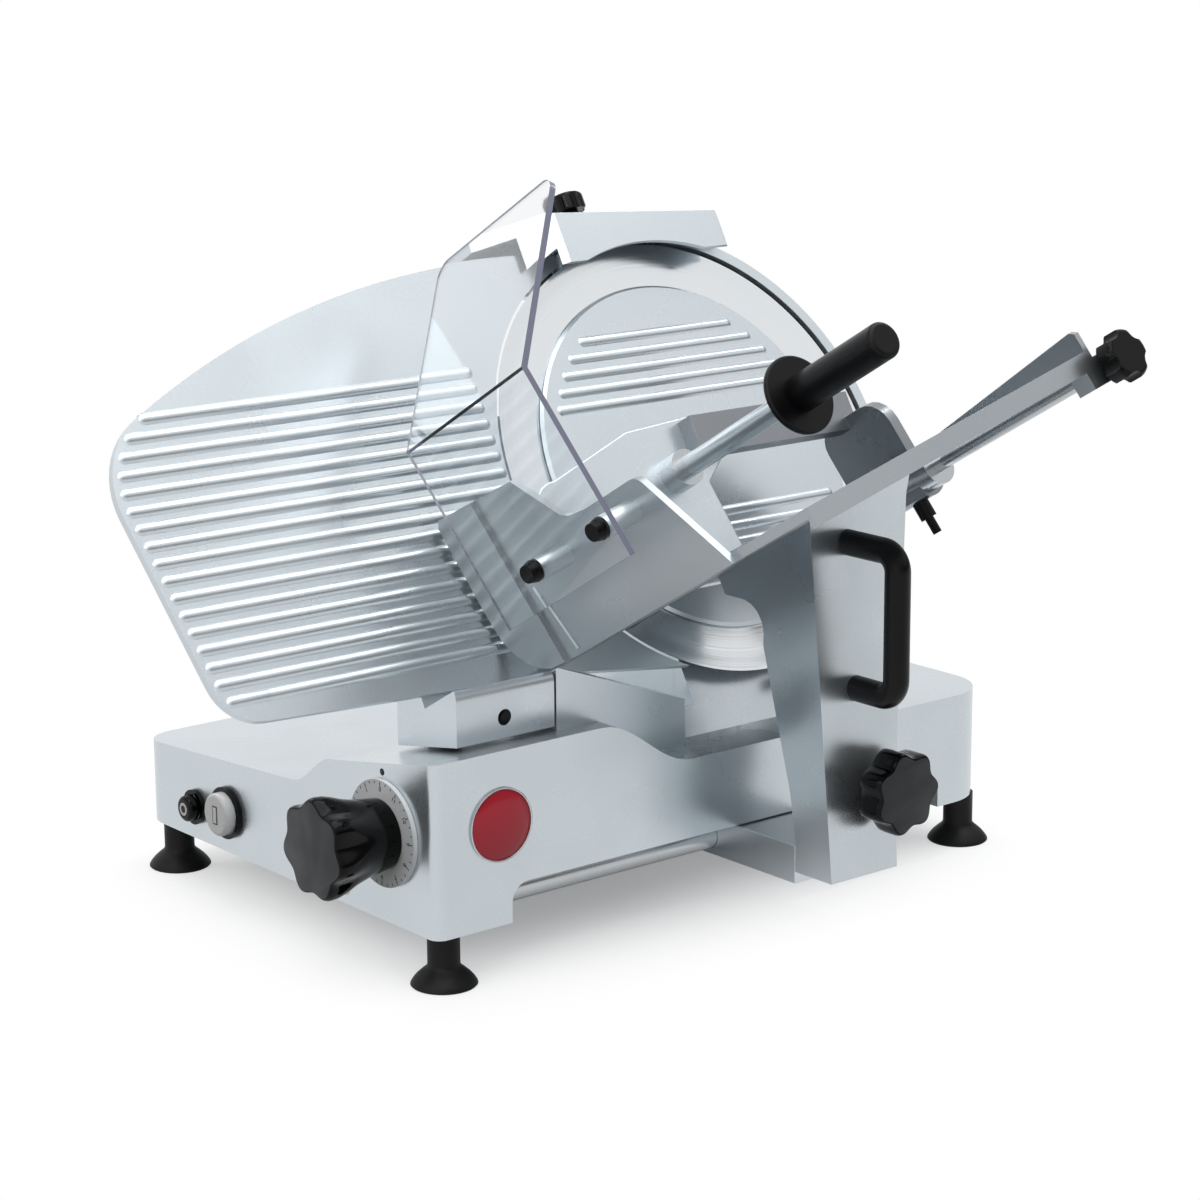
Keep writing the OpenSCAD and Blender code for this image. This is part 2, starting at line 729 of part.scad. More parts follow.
// Sharpener head on its post above the knife
post_r = 6;
post_z = -28;
post_n0 = knife_r - 58;
post_top = knife_r + 22;
post_x = -12;
head_l = -64;
head_r = 70;
head_low = knife_r - 15;
head_top = knife_r + 20;
head_front = 20;
head_back = -45;
head_slope = 4;
head_wall = 3.5;
boss_r = 10;
stone_r = 16;
spindle_r = 3;
stone_xs = [-44, 22];
stone_n = knife_r - 7;
module sharpener_post() {
    color(steel) at_knife() translate([post_x, post_n0, post_z]) rotate([-90, 0, 0])
        cylinder(r = post_r - 0.02, h = post_top - post_n0 - 9);
}
module sharpener_head() {
    color(alu) at_knife() difference() {
        union() {
            difference() {
                translate([0, head_low, 0]) rotate([-90, 0, 0]) linear_extrude(head_top - head_low) polygon([
                    [head_l, -head_front], [head_r, -head_front], [head_r + 8, -head_front + 8],
                    [head_r + 8, -head_back], [head_l - 46, -head_back], [head_l - 46, -head_front + 34]
                ]);
                translate([head_l, head_top, -100]) rotate([0, 0, -head_slope]) cube([200, 40, 200]);
            }
            translate([post_x, head_top - boss_r, post_z]) rotate([-90, 0, 0])
                cylinder(r = boss_r, h = boss_r);
        }
        translate([0, 0, -18]) cylinder(r = knife_r - 6, h = 80, $fn = 96);
        translate([0, 0, -18]) cylinder(r = knife_r + 5, h = 26, $fn = 96);
        translate([0, 0, -16]) cylinder(r = ring_out + 2, h = 16 + head_front - head_wall, $fn = 96);
        for (x = stone_xs) translate([x - stone_r - 2, head_low - 1, head_back + 6])
            cube([2 * stone_r + 4, 26, 20]);
        translate([-200, 0, -26]) cube([150, knife_r + 10, 30]);
        translate([post_x, head_low - 1, post_z]) rotate([-90, 0, 0])
            cylinder(r = post_r + fit, h = post_top - head_low - 7);
        translate([post_x, head_low - 1, post_z]) rotate([-90, 0, 0]) cylinder(r = 4 + fit, h = 60);
        for (x = stone_xs) translate([x, stone_n, head_back - 1]) cylinder(r = spindle_r, h = 8);
    }
}
module sharpener_knob() {
    color(black) at_knife() translate([post_x, head_top + gap, post_z]) rotate([-90, 0, 0]) {
        cylinder(r = 7, h = 18);
        translate([0, 0, 17]) lobed(13, 12, 6, 5);
        translate([0, 0, -6]) cylinder(r = 4, h = 7);
    }
}
module sharpener_spindles() {
    color(steel) at_knife() for (x = stone_xs) translate([x, stone_n, head_back])
        cylinder(r = spindle_r - 0.02, h = 18);
}
module stone(x) {
    color([0.45, 0.42, 0.40]) at_knife() translate([x, stone_n, head_back + 8])
        tube(stone_r, spindle_r + fit, 9);
}
module left_stone() { stone(stone_xs[0]); }
module right_stone() { stone(stone_xs[1]); }

// Carriage: guide rods, foot, arm, tray
arm_u = 237;
arm_in = 52;
arm_out_top = -62;
arm_top_h = 270;
arm_bend_h = 186;
horn_v = 14;
arm_out_foot = -85;
arm_foot_h = foot_h + 6;
foot_top = tunnel_top - 1;
foot_low = foot_h - 2;
module carriage_rods() {
    l = base_len - leg_l - leg_r + 2 * rod_seat;
    color(steel) at_base() {
        translate([leg_l - rod_seat, guide_v, guide_h]) rotate([0, 90, 0])
            cylinder(r = guide_d / 2 - 0.01, h = l);
        translate([leg_l - rod_seat, guide2_v, guide_h]) rotate([0, 90, 0])
            cylinder(r = guide2_d / 2 - 0.01, h = l);
    }
}
module carriage_foot() {
    color(alu) at_base() difference() {
        translate([arm_u, -arm_in, foot_low]) cube([arm_w_foot, arm_in + guide2_v + 12, foot_top - foot_low]);
        translate([arm_u - cut, guide_v, guide_h]) rotate([0, 90, 0])
            cylinder(r = guide_d / 2 + fit - 0.01, h = arm_w_foot + 2 * cut);
        translate([arm_u - cut, guide2_v, guide_h]) rotate([0, 90, 0])
            cylinder(r = guide2_d / 2 + fit - 0.01, h = arm_w_foot + 2 * cut);
    }
}
module carriage_arm() {
    z0 = arm_foot_h;
    color(alu) difference() {
        at_base() intersection() {
            translate([arm_u, 0, 0]) along_x(arm_w_top + 20) polygon(concat(
                [[arm_out_foot, z0], [-arm_in, z0], [-arm_in, 60], [-arm_in + 5, 90]],
                arc([-2, arm_bend_h - 1], 20, 195, 95, 5),
                [[horn_v, arm_bend_h + 19], [horn_v + 30, arm_bend_h + 65]],
                [[horn_v + 30, arm_top_h + 60]],
                [[arm_out_top - 5, arm_top_h + 60], [arm_out_top, arm_top_h]]
            ));
            translate([arm_u, -200, 0]) along_y(400) polygon([
                [0, 0], [arm_w_foot, 0], [arm_w_foot + 4, lock_h - 5],
                [arm_w_top, arm_top_h + 20], [arm_w_top, 400], [0, 400]
            ]);
        }
        at_tray() translate([-100, -tray_t, -100]) cube([600, 400, 800]);
        at_base() translate([lock_u, arm_out_foot - 20, lock_h]) rotate([-90, 0, 0])
            cylinder(r = lock_pin_r, h = 60);
    }
}
lock_u = arm_u + arm_w_foot - 12;
lock_pin_r = 5;
lock_h = 95;
lock_face = -81;
module lock_knob() {
    color(black) at_base() translate([lock_u, lock_face - 1, lock_h]) rotate([90, 0, 0]) {
        cylinder(r = 12, h = 7);
        translate([0, 0, 6]) lobed(27, 20, 7, 10);
        translate([0, 0, -26]) cylinder(r = lock_pin_r - fit, h = 27);
    }
}
handle_r = 8;
handle_u = arm_u + 30;
handle_z0 = 157;
handle_z1 = 247;
handle_out = 34.5;
function arm_face(z) = mix(arm_out_foot, arm_out_top, (z - arm_foot_h) / (arm_top_h - arm_foot_h));
module arm_handle() {
    bend = 12;
    y0 = arm_face(handle_z0);
    y1 = arm_face(handle_z1);
    yo = min(y0, y1) - handle_out;
    color(black) at_base() translate([handle_u, 0, 0]) difference() {
        union() {
            translate([0, y0 + 6, handle_z0]) rotate([90, 0, 0])
                cylinder(r = handle_r, h = y0 + 6 - yo - bend);
            translate([0, y1 + 6, handle_z1]) rotate([90, 0, 0])
                cylinder(r = handle_r, h = y1 + 6 - yo - bend);
            translate([0, yo, handle_z0 + bend]) cylinder(r = handle_r, h = handle_z1 - handle_z0 - 2 * bend);
            translate([0, yo + bend, handle_z0 + bend]) rotate([90, 0, 90]) rotate([0, 0, 180]) corner(bend);
            translate([0, yo + bend, handle_z1 - bend]) rotate([90, 0, 90]) rotate([0, 0, 90]) corner(bend);
        }
        translate([-50, 0, 0]) along_x(100) polygon([
            [arm_face(0), 0], [arm_face(400), 400], [100, 400], [100, 0]
        ]);
    }
}
module corner(bend) { rotate_extrude(angle = 90) translate([bend, 0]) circle(r = handle_r); }

// Tray floor with a folded lip, and the side wall that carries the guard
tray_in = 6;
tray_corner = 48;
wall_t = 5;
wall_h = 108;
wall_step = 65;
wall_l = 219;
rail_l = 165;
module product_tray() {
    color(alu) at_tray() {
        difference() {
            translate([0, -tray_t, tray_in]) cube([tray_w, tray_t, tray_l - tray_in]);
            translate([0, -tray_t - cut, tray_in]) rotate([-90, 0, 0]) linear_extrude(tray_t + 2 * cut)
                difference() {
                    translate([-cut, -tray_corner]) square([tray_corner + cut, tray_corner + cut]);
                    translate([tray_corner, -tray_corner]) circle(r = tray_corner, $fn = 64);
                }
        }
        translate([0, -12, tray_l - 4]) cube([tray_w, 12 - tray_t, 4]);
        translate([tray_w - 4, 0, 0]) rotate([0, -90, 0]) mirror([0, 0, 1]) linear_extrude(4) polygon([
            [tray_l - rail_l, 0], [tray_l - 4, 14], [tray_l, 12], [tray_l, 0]
        ]);
        wall_plate(-wall_t, wall_t);
        intersection() {
            wall_plate(-wall_t - 3, 3);
            translate([-20, -20, 0]) cube([40, wall_h + 52, 48]);
        }
        rod_lug(tray_l - 14);
        rod_lug(8);
    }
}
module wall_plate(x, thick) {
    translate([x, 0, 0]) rotate([0, -90, 0]) mirror([0, 0, 1]) linear_extrude(thick) polygon(concat(
        [[4, 42], [6, wall_h - 4], [10, wall_h], [87, wall_h - 5]],
        [[112, wall_step + 5], [118, wall_step + 2], [134, wall_step]],
        arc([wall_l - 41, wall_step - 10], 10, 90, 30, 4),
        [[wall_l, -tray_t], [56, -tray_t]],
        arc([44, 34], 40, 255, 192, 6)
    ));
}
lug_e = tray_w + 11;
lug_w = -14;
module rod_lug(z) {
    difference() {
        union() {
            translate([tray_w - 12, lug_w - 9, z]) cube([lug_e - tray_w + 12, 10 - lug_w - tray_t, 14]);
            translate([lug_e, lug_w, z]) cylinder(r = 9, h = 14);
        }
        translate([lug_e, lug_w, z - cut]) cylinder(r = pusher_rod_d / 2, h = 14 + 2 * cut);
    }
}
rod_end = tray_l + 11;
module pusher_rod() {
    color(steel) at_tray() translate([lug_e, lug_w, 8])
        cylinder(r = pusher_rod_d / 2 - 0.01, h = rod_end - 8);
}
module rod_knob() {
    color(black) at_tray() translate([lug_e, lug_w, tray_l + gap]) difference() {
        union() {
            cylinder(r = 8, h = 5);
            translate([0, 0, 4]) lobed(16, 13, 5, 8);
        }
        translate([0, 0, -cut]) cylinder(r = pusher_rod_d / 2 + fit, h = 12 + cut);
    }
}

// Clear guard on two standoffs
stand_ts = [98, 168];
stand_w = 49;
stand_l = 25;
guard_t = 4;
module guard_standoffs() {
    color(alu) at_tray() for (z = stand_ts) translate([-wall_t, stand_w, z]) rotate([0, -90, 0])
        cylinder(r = 7, h = stand_l);
}
guard_l = 130;
guard_z0 = 50;
guard_low = 27;
fold_w = 148;
fold_up = 132;
fold = 45;
guard_corner = 11;
module clear_guard() {
    x0 = -wall_t - stand_l - guard_t;
    x1 = x0 + guard_t;
    x2 = x1 + fold_up * sin(fold);
    w2 = fold_w + fold_up * cos(fold);
    color([0.80, 0.84, 0.88, 0.4]) at_tray() difference() {
        translate([0, 0, guard_z0]) linear_extrude(guard_l) polygon([
            [x0, guard_low], [x1, guard_low], [x1, fold_w],
            [x2, w2], [x2 - guard_t * cos(fold), w2 + guard_t * sin(fold)],
            [x0, fold_w + guard_t * tan(fold / 2)]
        ]);
        translate([x1, fold_w, guard_z0]) rotate([0, 0, 90 - fold]) {
            translate([fold_up, 0, 0]) corner_cut();
            translate([fold_up, 0, guard_l]) mirror([0, 0, 1]) corner_cut();
        }
        for (z = stand_ts) translate([-wall_t - stand_l + cut, stand_w, z]) rotate([0, -90, 0])
            cylinder(r = 4, h = guard_t + 2 * cut);
    }
}
module corner_cut() {
    r = guard_corner;
    difference() {
        translate([-r, -cut, -cut]) cube([r + cut, guard_t + 2 * cut, r + cut]);
        translate([-r, -2 * cut, r]) rotate([-90, 0, 0]) cylinder(r = r, h = guard_t + 4 * cut);
    }
}
module guard_nuts() {
    color(black) at_tray() for (z = stand_ts) translate([-wall_t - stand_l, stand_w, z]) rotate([0, -90, 0]) {
        cylinder(r = 4 - fit, h = guard_t + 1);
        translate([0, 0, guard_t]) cylinder(r1 = 7, r2 = 5.5, h = 6);
    }
}

// Pusher: slider on the rod, swinging arm, pressing plate and handle
slider_r = 11;
slider_z0 = 72;
slider_l = 52;
hub_wall = 5;
hub_z0 = 76;
hub_l = 34;
plate_z0 = 60;
arm_e = 262;
module pusher_slider() {
    color(steel) at_tray() translate([lug_e, lug_w, slider_z0]) slider_form();
}
module slider_form() {
    bore = pusher_rod_d / 2 + fit;
    tube(slider_r, bore, slider_l);
    tube(slider_r + 2, bore, hub_z0 - slider_z0 - gap);
    translate([0, 0, hub_z0 + hub_l + gap - slider_z0])
        tube(slider_r + 2, bore, slider_z0 + slider_l - hub_z0 - hub_l - gap);
}
module stop_pin() {
    color(black) at_tray() translate([lug_e, lug_w, hub_z0 + 17]) rotate([90, 0, 0]) difference() {
        union() {
            cylinder(r = 5.5, h = slider_r + hub_wall + 11);
            cylinder(r = 3, h = slider_r + hub_wall + 22);
        }
        translate([0, 50, 0]) rotate([90, 0, 0]) cylinder(r = slider_r + hub_wall, h = 100);
    }
}
module pusher_arm() {
    color([0.55, 0.57, 0.59]) at_tray() difference() {
        union() {
            translate([lug_e - 4, 0, 0]) rotate([0, 90, 0]) mirror([1, 0, 0]) linear_extrude(8)
                polygon(concat(
                    [[46, 2], [hub_z0, 2], [hub_z0, lug_w], [110, lug_w]],
                    arc([92, 25], 18, 0, 90, 5),
                    arc([62, 27], 16, 90, 180, 5)
                ));
            translate([lug_e, lug_w, hub_z0]) cylinder(r = slider_r + hub_wall, h = hub_l);
            level_bar();
        }
        translate([lug_e, lug_w, 0]) cylinder(r = slider_r + fit, h = 400);
        translate([lug_e, lug_w, 0]) cylinder(r = slider_r + 2 + gap, h = hub_z0);
        translate([0, -200, 0]) cube([tray_w + 2, 222, 400]);
    }
}
module level_bar() {
    bar_x = -62;
    bar_end = tray_x + lug_e * cos(tray_tilt) - 5;
    rotate([0, 0, -tray_tilt]) translate([bar_x - tray_x, -tray_n - 22, plate_z0 + 4])
        cube([bar_end - bar_x, 26, 12]);
}
press_w = 177;
press_h = 100;
module pusher_plate() {
    color(alu) at_tray() translate([0, 0, plate_z0]) linear_extrude(4) polygon(concat(
        [[6, 3], [press_w - 27, 3], [press_w - 24, 48], [press_w, 60], [press_w, press_h - 11]],
        [[112, press_h], [52, press_h - 6]],
        arc([40, press_h - 26], 20, 75, 165, 5)
    ));
}
handle_e = 130;
handle_w = 62;
stem_r = 7;
stem_l = 140;
grip_l = 82;
module pusher_rod_handle() {
    color(steel) at_tray() translate([handle_e, handle_w, plate_z0 + 4]) {
        cylinder(r = stem_r + 5, h = 14);
        cylinder(r = stem_r, h = stem_l);
    }
}
module hand_disc() {
    color(black) at_tray() translate([handle_e, handle_w, plate_z0 + stem_l - 8])
        tube(disc_d / 2, stem_r + 0.01, 4);
}
module pusher_grip() {
    color(black) at_tray() translate([handle_e, handle_w, plate_z0 + stem_l - 4]) difference() {
        rotate_extrude() polygon(concat(
            [[0, 0], [grip_d / 2, 0]],
            arc([grip_d / 2 - 3, grip_l - 3], 3, 0, 90, 5),
            [[0, grip_l]]
        ));
        translate([0, 0, -cut]) cylinder(r = stem_r + 0.01, h = 9 + cut);
    }
}

base_casting();
bottom_plate();
rubber_feet();
cord_gland();
wedge_casting();
stop_bezel();
stop_button();
start_bezel();
start_button();
switch_block();
thickness_knob();
dial_disc();
thickness_shaft();
shaft_bush();
spiral_cam();
gauge_plate();
gauge_block();
gauge_slider();
gauge_guide_rods();
knife_housing();
bearing_carrier();
front_bearing();
rear_bearing();
knife_shaft();
knife();
knife_screws();
knife_pulley();
drive_belt();
motor();
motor_shaft();
motor_pulley();
knife_cover();
cover_tie_rod();
cover_knob();
slice_deflector();
sharpener_post();
sharpener_head();
sharpener_knob();
sharpener_spindles();
left_stone();
right_stone();
carriage_rods();
carriage_foot();
carriage_arm();
arm_handle();
lock_knob();
product_tray();
pusher_rod();
rod_knob();
guard_standoffs();
clear_guard();
guard_nuts();
pusher_slider();
stop_pin();
pusher_arm();
pusher_plate();
pusher_rod_handle();
hand_disc();
pusher_grip();
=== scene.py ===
# %% [markdown]
# # A gravity-feed food slicer
# The machine is a set of castings in satin aluminium, a polished round knife, black plastic
# knobs and a clear guard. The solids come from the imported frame, in metres. This lesson gives
# each of them its finish, softens the cast edges and adds the small marks a maker would add.

# %% Load the frame
import json
import math

import bmesh
import bpy
from mathutils import Matrix, Vector


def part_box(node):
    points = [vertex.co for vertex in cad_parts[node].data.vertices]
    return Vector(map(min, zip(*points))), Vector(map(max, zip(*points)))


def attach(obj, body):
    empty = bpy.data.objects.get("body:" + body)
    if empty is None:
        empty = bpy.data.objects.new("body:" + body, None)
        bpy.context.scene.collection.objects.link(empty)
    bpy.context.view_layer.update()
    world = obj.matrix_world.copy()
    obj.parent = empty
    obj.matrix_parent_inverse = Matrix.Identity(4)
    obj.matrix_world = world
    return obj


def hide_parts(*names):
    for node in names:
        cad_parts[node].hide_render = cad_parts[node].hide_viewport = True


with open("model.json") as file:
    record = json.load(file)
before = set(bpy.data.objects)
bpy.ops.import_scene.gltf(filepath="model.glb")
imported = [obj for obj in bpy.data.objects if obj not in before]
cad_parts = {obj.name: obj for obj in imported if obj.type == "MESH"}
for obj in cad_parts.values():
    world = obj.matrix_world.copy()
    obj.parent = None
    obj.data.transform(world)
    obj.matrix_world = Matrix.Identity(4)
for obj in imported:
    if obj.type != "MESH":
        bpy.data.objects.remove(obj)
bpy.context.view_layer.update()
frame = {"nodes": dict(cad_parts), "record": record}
nodes = frame["nodes"]
bodies = frame["record"]["behaviour"]["bodies"]
body_of_node = {node: body for body, members in bodies.items() for node in members}
slot_of_node = {part["node"]: part["material_slot"] for part in frame["record"]["subparts"]}
print("nodes in the frame:", len(nodes))

# %% [markdown]
# ## Places on the machine
# Every place is counted from a corner or an axis of the real machine, in millimetres: the near
# corner of the base, the knife's centre on its leaning plane, the tray on its cross tilt, and
# the axis of the thickness knob. A matrix for each saves working out the angles again.

# %% Places
MM = 0.001
QUARTER = math.pi / 2
KNIFE_CENTRE, KNIFE_LEAN = (303, 117, 271), math.radians(30)
TRAY_CORNER, TRAY_TILT = (-190, -121, 0), math.radians(14)
KNOB_CENTRE = (0, 50, 90)
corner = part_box("base_casting")[0]
corner = Vector((corner.x, corner.y, 0.0))


def at_base(u, v, z):
    return corner + Vector((u, v, z)) * MM


def on_base(place, facing):
    return Matrix.Translation(at_base(*place)) @ facing


def shift(x, y, z):
    return Matrix.Translation(Vector((x, y, z)) * MM)


front_face = Matrix.Rotation(QUARTER, 4, "X")
left_face = Matrix.Rotation(-QUARTER, 4, "Y")
knife_place = on_base(KNIFE_CENTRE, Matrix.Rotation(QUARTER - KNIFE_LEAN, 4, "X"))
tray_place = knife_place @ shift(*TRAY_CORNER) @ Matrix.Rotation(TRAY_TILT, 4, "Z")
knob_place = on_base(KNOB_CENTRE, left_face)
print("knife centre:", [round(c, 4) for c in knife_place.translation])

# %% [markdown]
# ## Camera
# The photograph looks from the knob's end and a little above, with a long lens, so upright edges
# stay nearly parallel. The camera's place is counted from the base corner like any other piece,
# and its lens is measured in pixels of the photograph.

# %% Camera
PHOTO_PX, LENS_PX, SENSOR_MM = 1200, 3139, 36
CAMERA_PLACE = (-1025, -1413.5, 660)
YAW, PITCH, ROLL = (math.radians(a) for a in (39.13, 13.53, -0.4))
camera_data = bpy.data.cameras.new("studio_camera")
camera_data.sensor_width = SENSOR_MM
camera_data.lens = LENS_PX / PHOTO_PX * SENSOR_MM
camera = bpy.data.objects.new("studio_camera", camera_data)
bpy.context.collection.objects.link(camera)
facing = Matrix.Rotation(-YAW, 4, "Z") @ Matrix.Rotation(QUARTER - PITCH, 4, "X")
camera.matrix_world = on_base(CAMERA_PLACE, facing @ Matrix.Rotation(ROLL, 4, "Z"))
bpy.context.scene.camera = camera
print("lens in mm:", round(camera_data.lens, 1))

# %% [markdown]
# ## Colours and nodes
# Colours are written as the hex values a picker shows on screen, which are sRGB, and shaders
# work in linear light. One function turns one into the other. A second adds a node with its
# settings and links, so a material reads from top to bottom. A third starts a material with the
# shader and with Object coordinates, which are metres in the frame. A noise keeps mostly to the
# middle of its range, so each pattern is spread from there.

# %% Helpers for materials
NOISE_SPAN = {"From Min": 0.3, "From Max": 0.7}
RELIEF = 0.2 * MM


def linear(code):
    parts = [int(code[i:i + 2], 16) / 255 for i in (1, 3, 5)]
    return [c / 12.92 if c <= 0.04045 else ((c + 0.055) / 1.055) ** 2.4 for c in parts] + [1.0]


def add(tree, kind, inputs=None, **settings):
    made = tree.nodes.new(kind)
    for name, value in settings.items():
        setattr(made, name, value)
    for name, value in (inputs or {}).items():
        if isinstance(value, bpy.types.NodeSocket):
            tree.links.new(value, made.inputs[name])
        else:
            made.inputs[name].default_value = value
    return made


def new_material(name):
    made = bpy.data.materials.new(name)
    made.use_nodes = True
    made.node_tree.nodes.clear()
    tree = made.node_tree
    coords = add(tree, "ShaderNodeTexCoord").outputs["Object"]
    shader = add(tree, "ShaderNodeBsdfPrincipled")
    add(tree, "ShaderNodeOutputMaterial", {"Surface": shader.outputs[0]})
    return made, tree, coords, shader


print("mid grey in linear light:", round(linear("#808080")[0], 3))

# %% [markdown]
# ## Satin aluminium, steel and bronze
# The castings are blasted, polished and anodised: a pale grey metal with soft, wide reflections.
# Blasting leaves a grit of about half a millimetre. That is finer than a pixel here, so it is
# drawn at 1.6 mm. Handling shows as slow changes of sheen over a hand's width. The tray is the
# same metal with a darker base colour, which is painted shade for the darker reflections on its
# walls. Ground rods, machined arms and pulleys, and turned bronze bushes take the same recipe
# with a finer grit, and their sheen changes over a finger's width.

# %% Metals
GRIT_SHADE = 0.97


def metal(name, colour, rough, grit_mm, bump, cloud_mm=70.0, shine=1.0):
    made, tree, coords, shader = new_material(name)
    grit = add(tree, "ShaderNodeTexNoise",
               {"Vector": coords, "Scale": 1 / (grit_mm * MM), "Detail": 1.0})
    cloud = add(tree, "ShaderNodeTexNoise",
                {"Vector": coords, "Scale": 1 / (cloud_mm * MM), "Detail": 4.0})
    sheen = add(tree, "ShaderNodeMapRange",
                {"Value": cloud.outputs["Fac"], **NOISE_SPAN,
                 "To Min": rough[0], "To Max": rough[1]})
    shade = add(tree, "ShaderNodeMapRange",
                {"Value": grit.outputs["Fac"], **NOISE_SPAN,
                 "To Min": GRIT_SHADE, "To Max": 1.0})
    tint = add(tree, "ShaderNodeVectorMath",
               {0: linear(colour)[:3], "Scale": shade.outputs[0]}, operation="SCALE")
    relief = add(tree, "ShaderNodeBump",
                 {"Height": grit.outputs["Fac"], "Strength": bump, "Distance": RELIEF})
    tree.links.new(tint.outputs[0], shader.inputs["Base Color"])
    tree.links.new(sheen.outputs[0], shader.inputs["Roughness"])
    tree.links.new(relief.outputs[0], shader.inputs["Normal"])
    shader.inputs["Metallic"].default_value = shine
    return made


anodised = metal("anodised_aluminium_casting", "#CFD7DC", rough=(0.24, 0.34), grit_mm=1.6,
                 bump=0.015, shine=0.84)
ground_steel = metal("ground_steel_rod", "#B9BDC0", rough=(0.18, 0.30), grit_mm=1.2,
                     bump=0.03, cloud_mm=30.0)
machined_steel = metal("machined_steel", "#8B8F93", rough=(0.25, 0.40), grit_mm=1.4,
                       bump=0.10, cloud_mm=30.0)
# The tray's colour is darker than the castings' as painted shade for the darker reflections on its
# walls.
tray_painted_shade = metal("tray_metal_painted_shade", "#A6ACB0", rough=(0.26, 0.36), grit_mm=1.6,
                   bump=0.015, shine=0.9)
bronze = metal("turned_bronze", "#A98252", rough=(0.25, 0.38), grit_mm=1.2,
               bump=0.06, cloud_mm=20.0)
print("metals:", anodised.name, ground_steel.name, machined_steel.name, tray_painted_shade.name,
      bronze.name)

# %% [markdown]
# ## Knife steel
# The knife is ground on a turning table, which leaves fine rings about its centre. The rings are
# a tenth of a millimetre apart, too fine to show, so they are drawn 1.5 mm apart. The distance
# from the knife's axis comes from a Mapping node that puts the pattern's origin on that axis.

# %% Knife steel
RING_RELIEF = 0.1 * MM


def ringed_steel(name, colour, rough, ring_mm, bump):
    made, tree, coords, shader = new_material(name)
    centred = add(tree, "ShaderNodeMapping",
                  {"Vector": coords, "Location": knife_place.translation,
                   "Rotation": knife_place.to_euler()}, vector_type="TEXTURE")
    flat = add(tree, "ShaderNodeVectorMath",
               {0: centred.outputs[0], 1: (1, 1, 0)}, operation="MULTIPLY")
    radius = add(tree, "ShaderNodeVectorMath", {0: flat.outputs[0]}, operation="LENGTH")
    rings = add(tree, "ShaderNodeTexNoise",
                {"W": radius.outputs["Value"], "Scale": 1 / (ring_mm * MM), "Detail": 4.0},
                noise_dimensions="1D")
    sheen = add(tree, "ShaderNodeMapRange",
                {"Value": rings.outputs["Fac"], **NOISE_SPAN,
                 "To Min": rough[0], "To Max": rough[1]})
    relief = add(tree, "ShaderNodeBump",
                 {"Height": rings.outputs["Fac"], "Strength": bump, "Distance": RING_RELIEF})
    tree.links.new(sheen.outputs[0], shader.inputs["Roughness"])
    tree.links.new(relief.outputs[0], shader.inputs["Normal"])
    shader.inputs["Base Color"].default_value = linear(colour)
    shader.inputs["Metallic"].default_value = 1.0
    return made


knife_steel = ringed_steel("ground_knife_steel", "#DDE1E4", rough=(0.11, 0.22), ring_mm=1.5,
                           bump=0.12)
print("knife steel made:", knife_steel.name)

# %% [markdown]
# ## Plastics, rubber, print and stone
# The knobs are moulded in glossy black phenolic, the grips in a duller black, the buttons and the
# dial in pale ABS, and the feet are rubber. A mould leaves a very fine orange-peel skin, drawn
# here at 2 mm, and the matt parts carry a spark-eroded grain of about 0.8 mm. Ink, enamel and
# paint are thin films with such a skin too, and the sharpening stones are coarse bonded grit.
# Hands polish some places and dull others, which changes the sheen every 25 mm or so.

# %% Plastics
WEAR_MM, POLISHED, DULLED = 25, 0.85, 1.2
PLASTIC_IOR, COAT_ROUGH = 1.5, 0.06


def moulded(name, colour, rough, grain_mm, bump, coat=0.0, gloss=0.5):
    made, tree, coords, shader = new_material(name)
    grain = add(tree, "ShaderNodeTexNoise",
                {"Vector": coords, "Scale": 1 / (grain_mm * MM), "Detail": 3.0})
    wear = add(tree, "ShaderNodeTexNoise",
               {"Vector": coords, "Scale": 1 / (WEAR_MM * MM), "Detail": 3.0})
    sheen = add(tree, "ShaderNodeMapRange",
                {"Value": wear.outputs["Fac"], **NOISE_SPAN,
                 "To Min": rough * POLISHED, "To Max": rough * DULLED})
    relief = add(tree, "ShaderNodeBump",
                 {"Height": grain.outputs["Fac"], "Strength": bump, "Distance": RELIEF})
    tree.links.new(sheen.outputs[0], shader.inputs["Roughness"])
    tree.links.new(relief.outputs[0], shader.inputs["Normal"])
    shader.inputs["Base Color"].default_value = linear(colour)
    shader.inputs["IOR"].default_value = PLASTIC_IOR
    shader.inputs["Specular IOR Level"].default_value = gloss
    shader.inputs["Coat Weight"].default_value = coat
    shader.inputs["Coat Roughness"].default_value = COAT_ROUGH
    return made


phenolic = moulded("black_phenolic_gloss", "#060607", rough=0.10, grain_mm=2.0, bump=0.02,
                   gloss=0.14)
grip_black = moulded("black_moulded_grip", "#0A0A0C", rough=0.34, grain_mm=0.8, bump=0.15,
                     gloss=0.18)
knob_face = moulded("grey_moulded_face", "#33373B", rough=0.5, grain_mm=0.8, bump=0.15,
                    gloss=0.35)
foot_rubber = moulded("black_rubber", "#0A0A0C", rough=0.5, grain_mm=1.2, bump=0.2, gloss=0.22)
white_abs = moulded("white_abs_button", "#E9EAE8", rough=0.28, grain_mm=2.0, bump=0.03, coat=0.3)
dial_abs = moulded("pale_dial_plastic", "#E6E9EA", rough=0.4, grain_mm=1.0, bump=0.03)
ink = moulded("black_print_ink", "#17181A", rough=0.5, grain_mm=0.6, bump=0.05)
enamel_red = moulded("red_enamel", "#DC2A40", rough=0.2, grain_mm=4.0, bump=0.02, coat=0.1,
                     gloss=0.3)
grit_stone = moulded("grinding_stone", "#6E655E", rough=0.9, grain_mm=0.9, bump=0.8)
motor_paint = moulded("grey_motor_paint", "#4A4F53", rough=0.45, grain_mm=1.2, bump=0.2)
switch_black = moulded("dark_switch_plastic", "#2A2B2D", rough=0.5, grain_mm=1.0, bump=0.1)
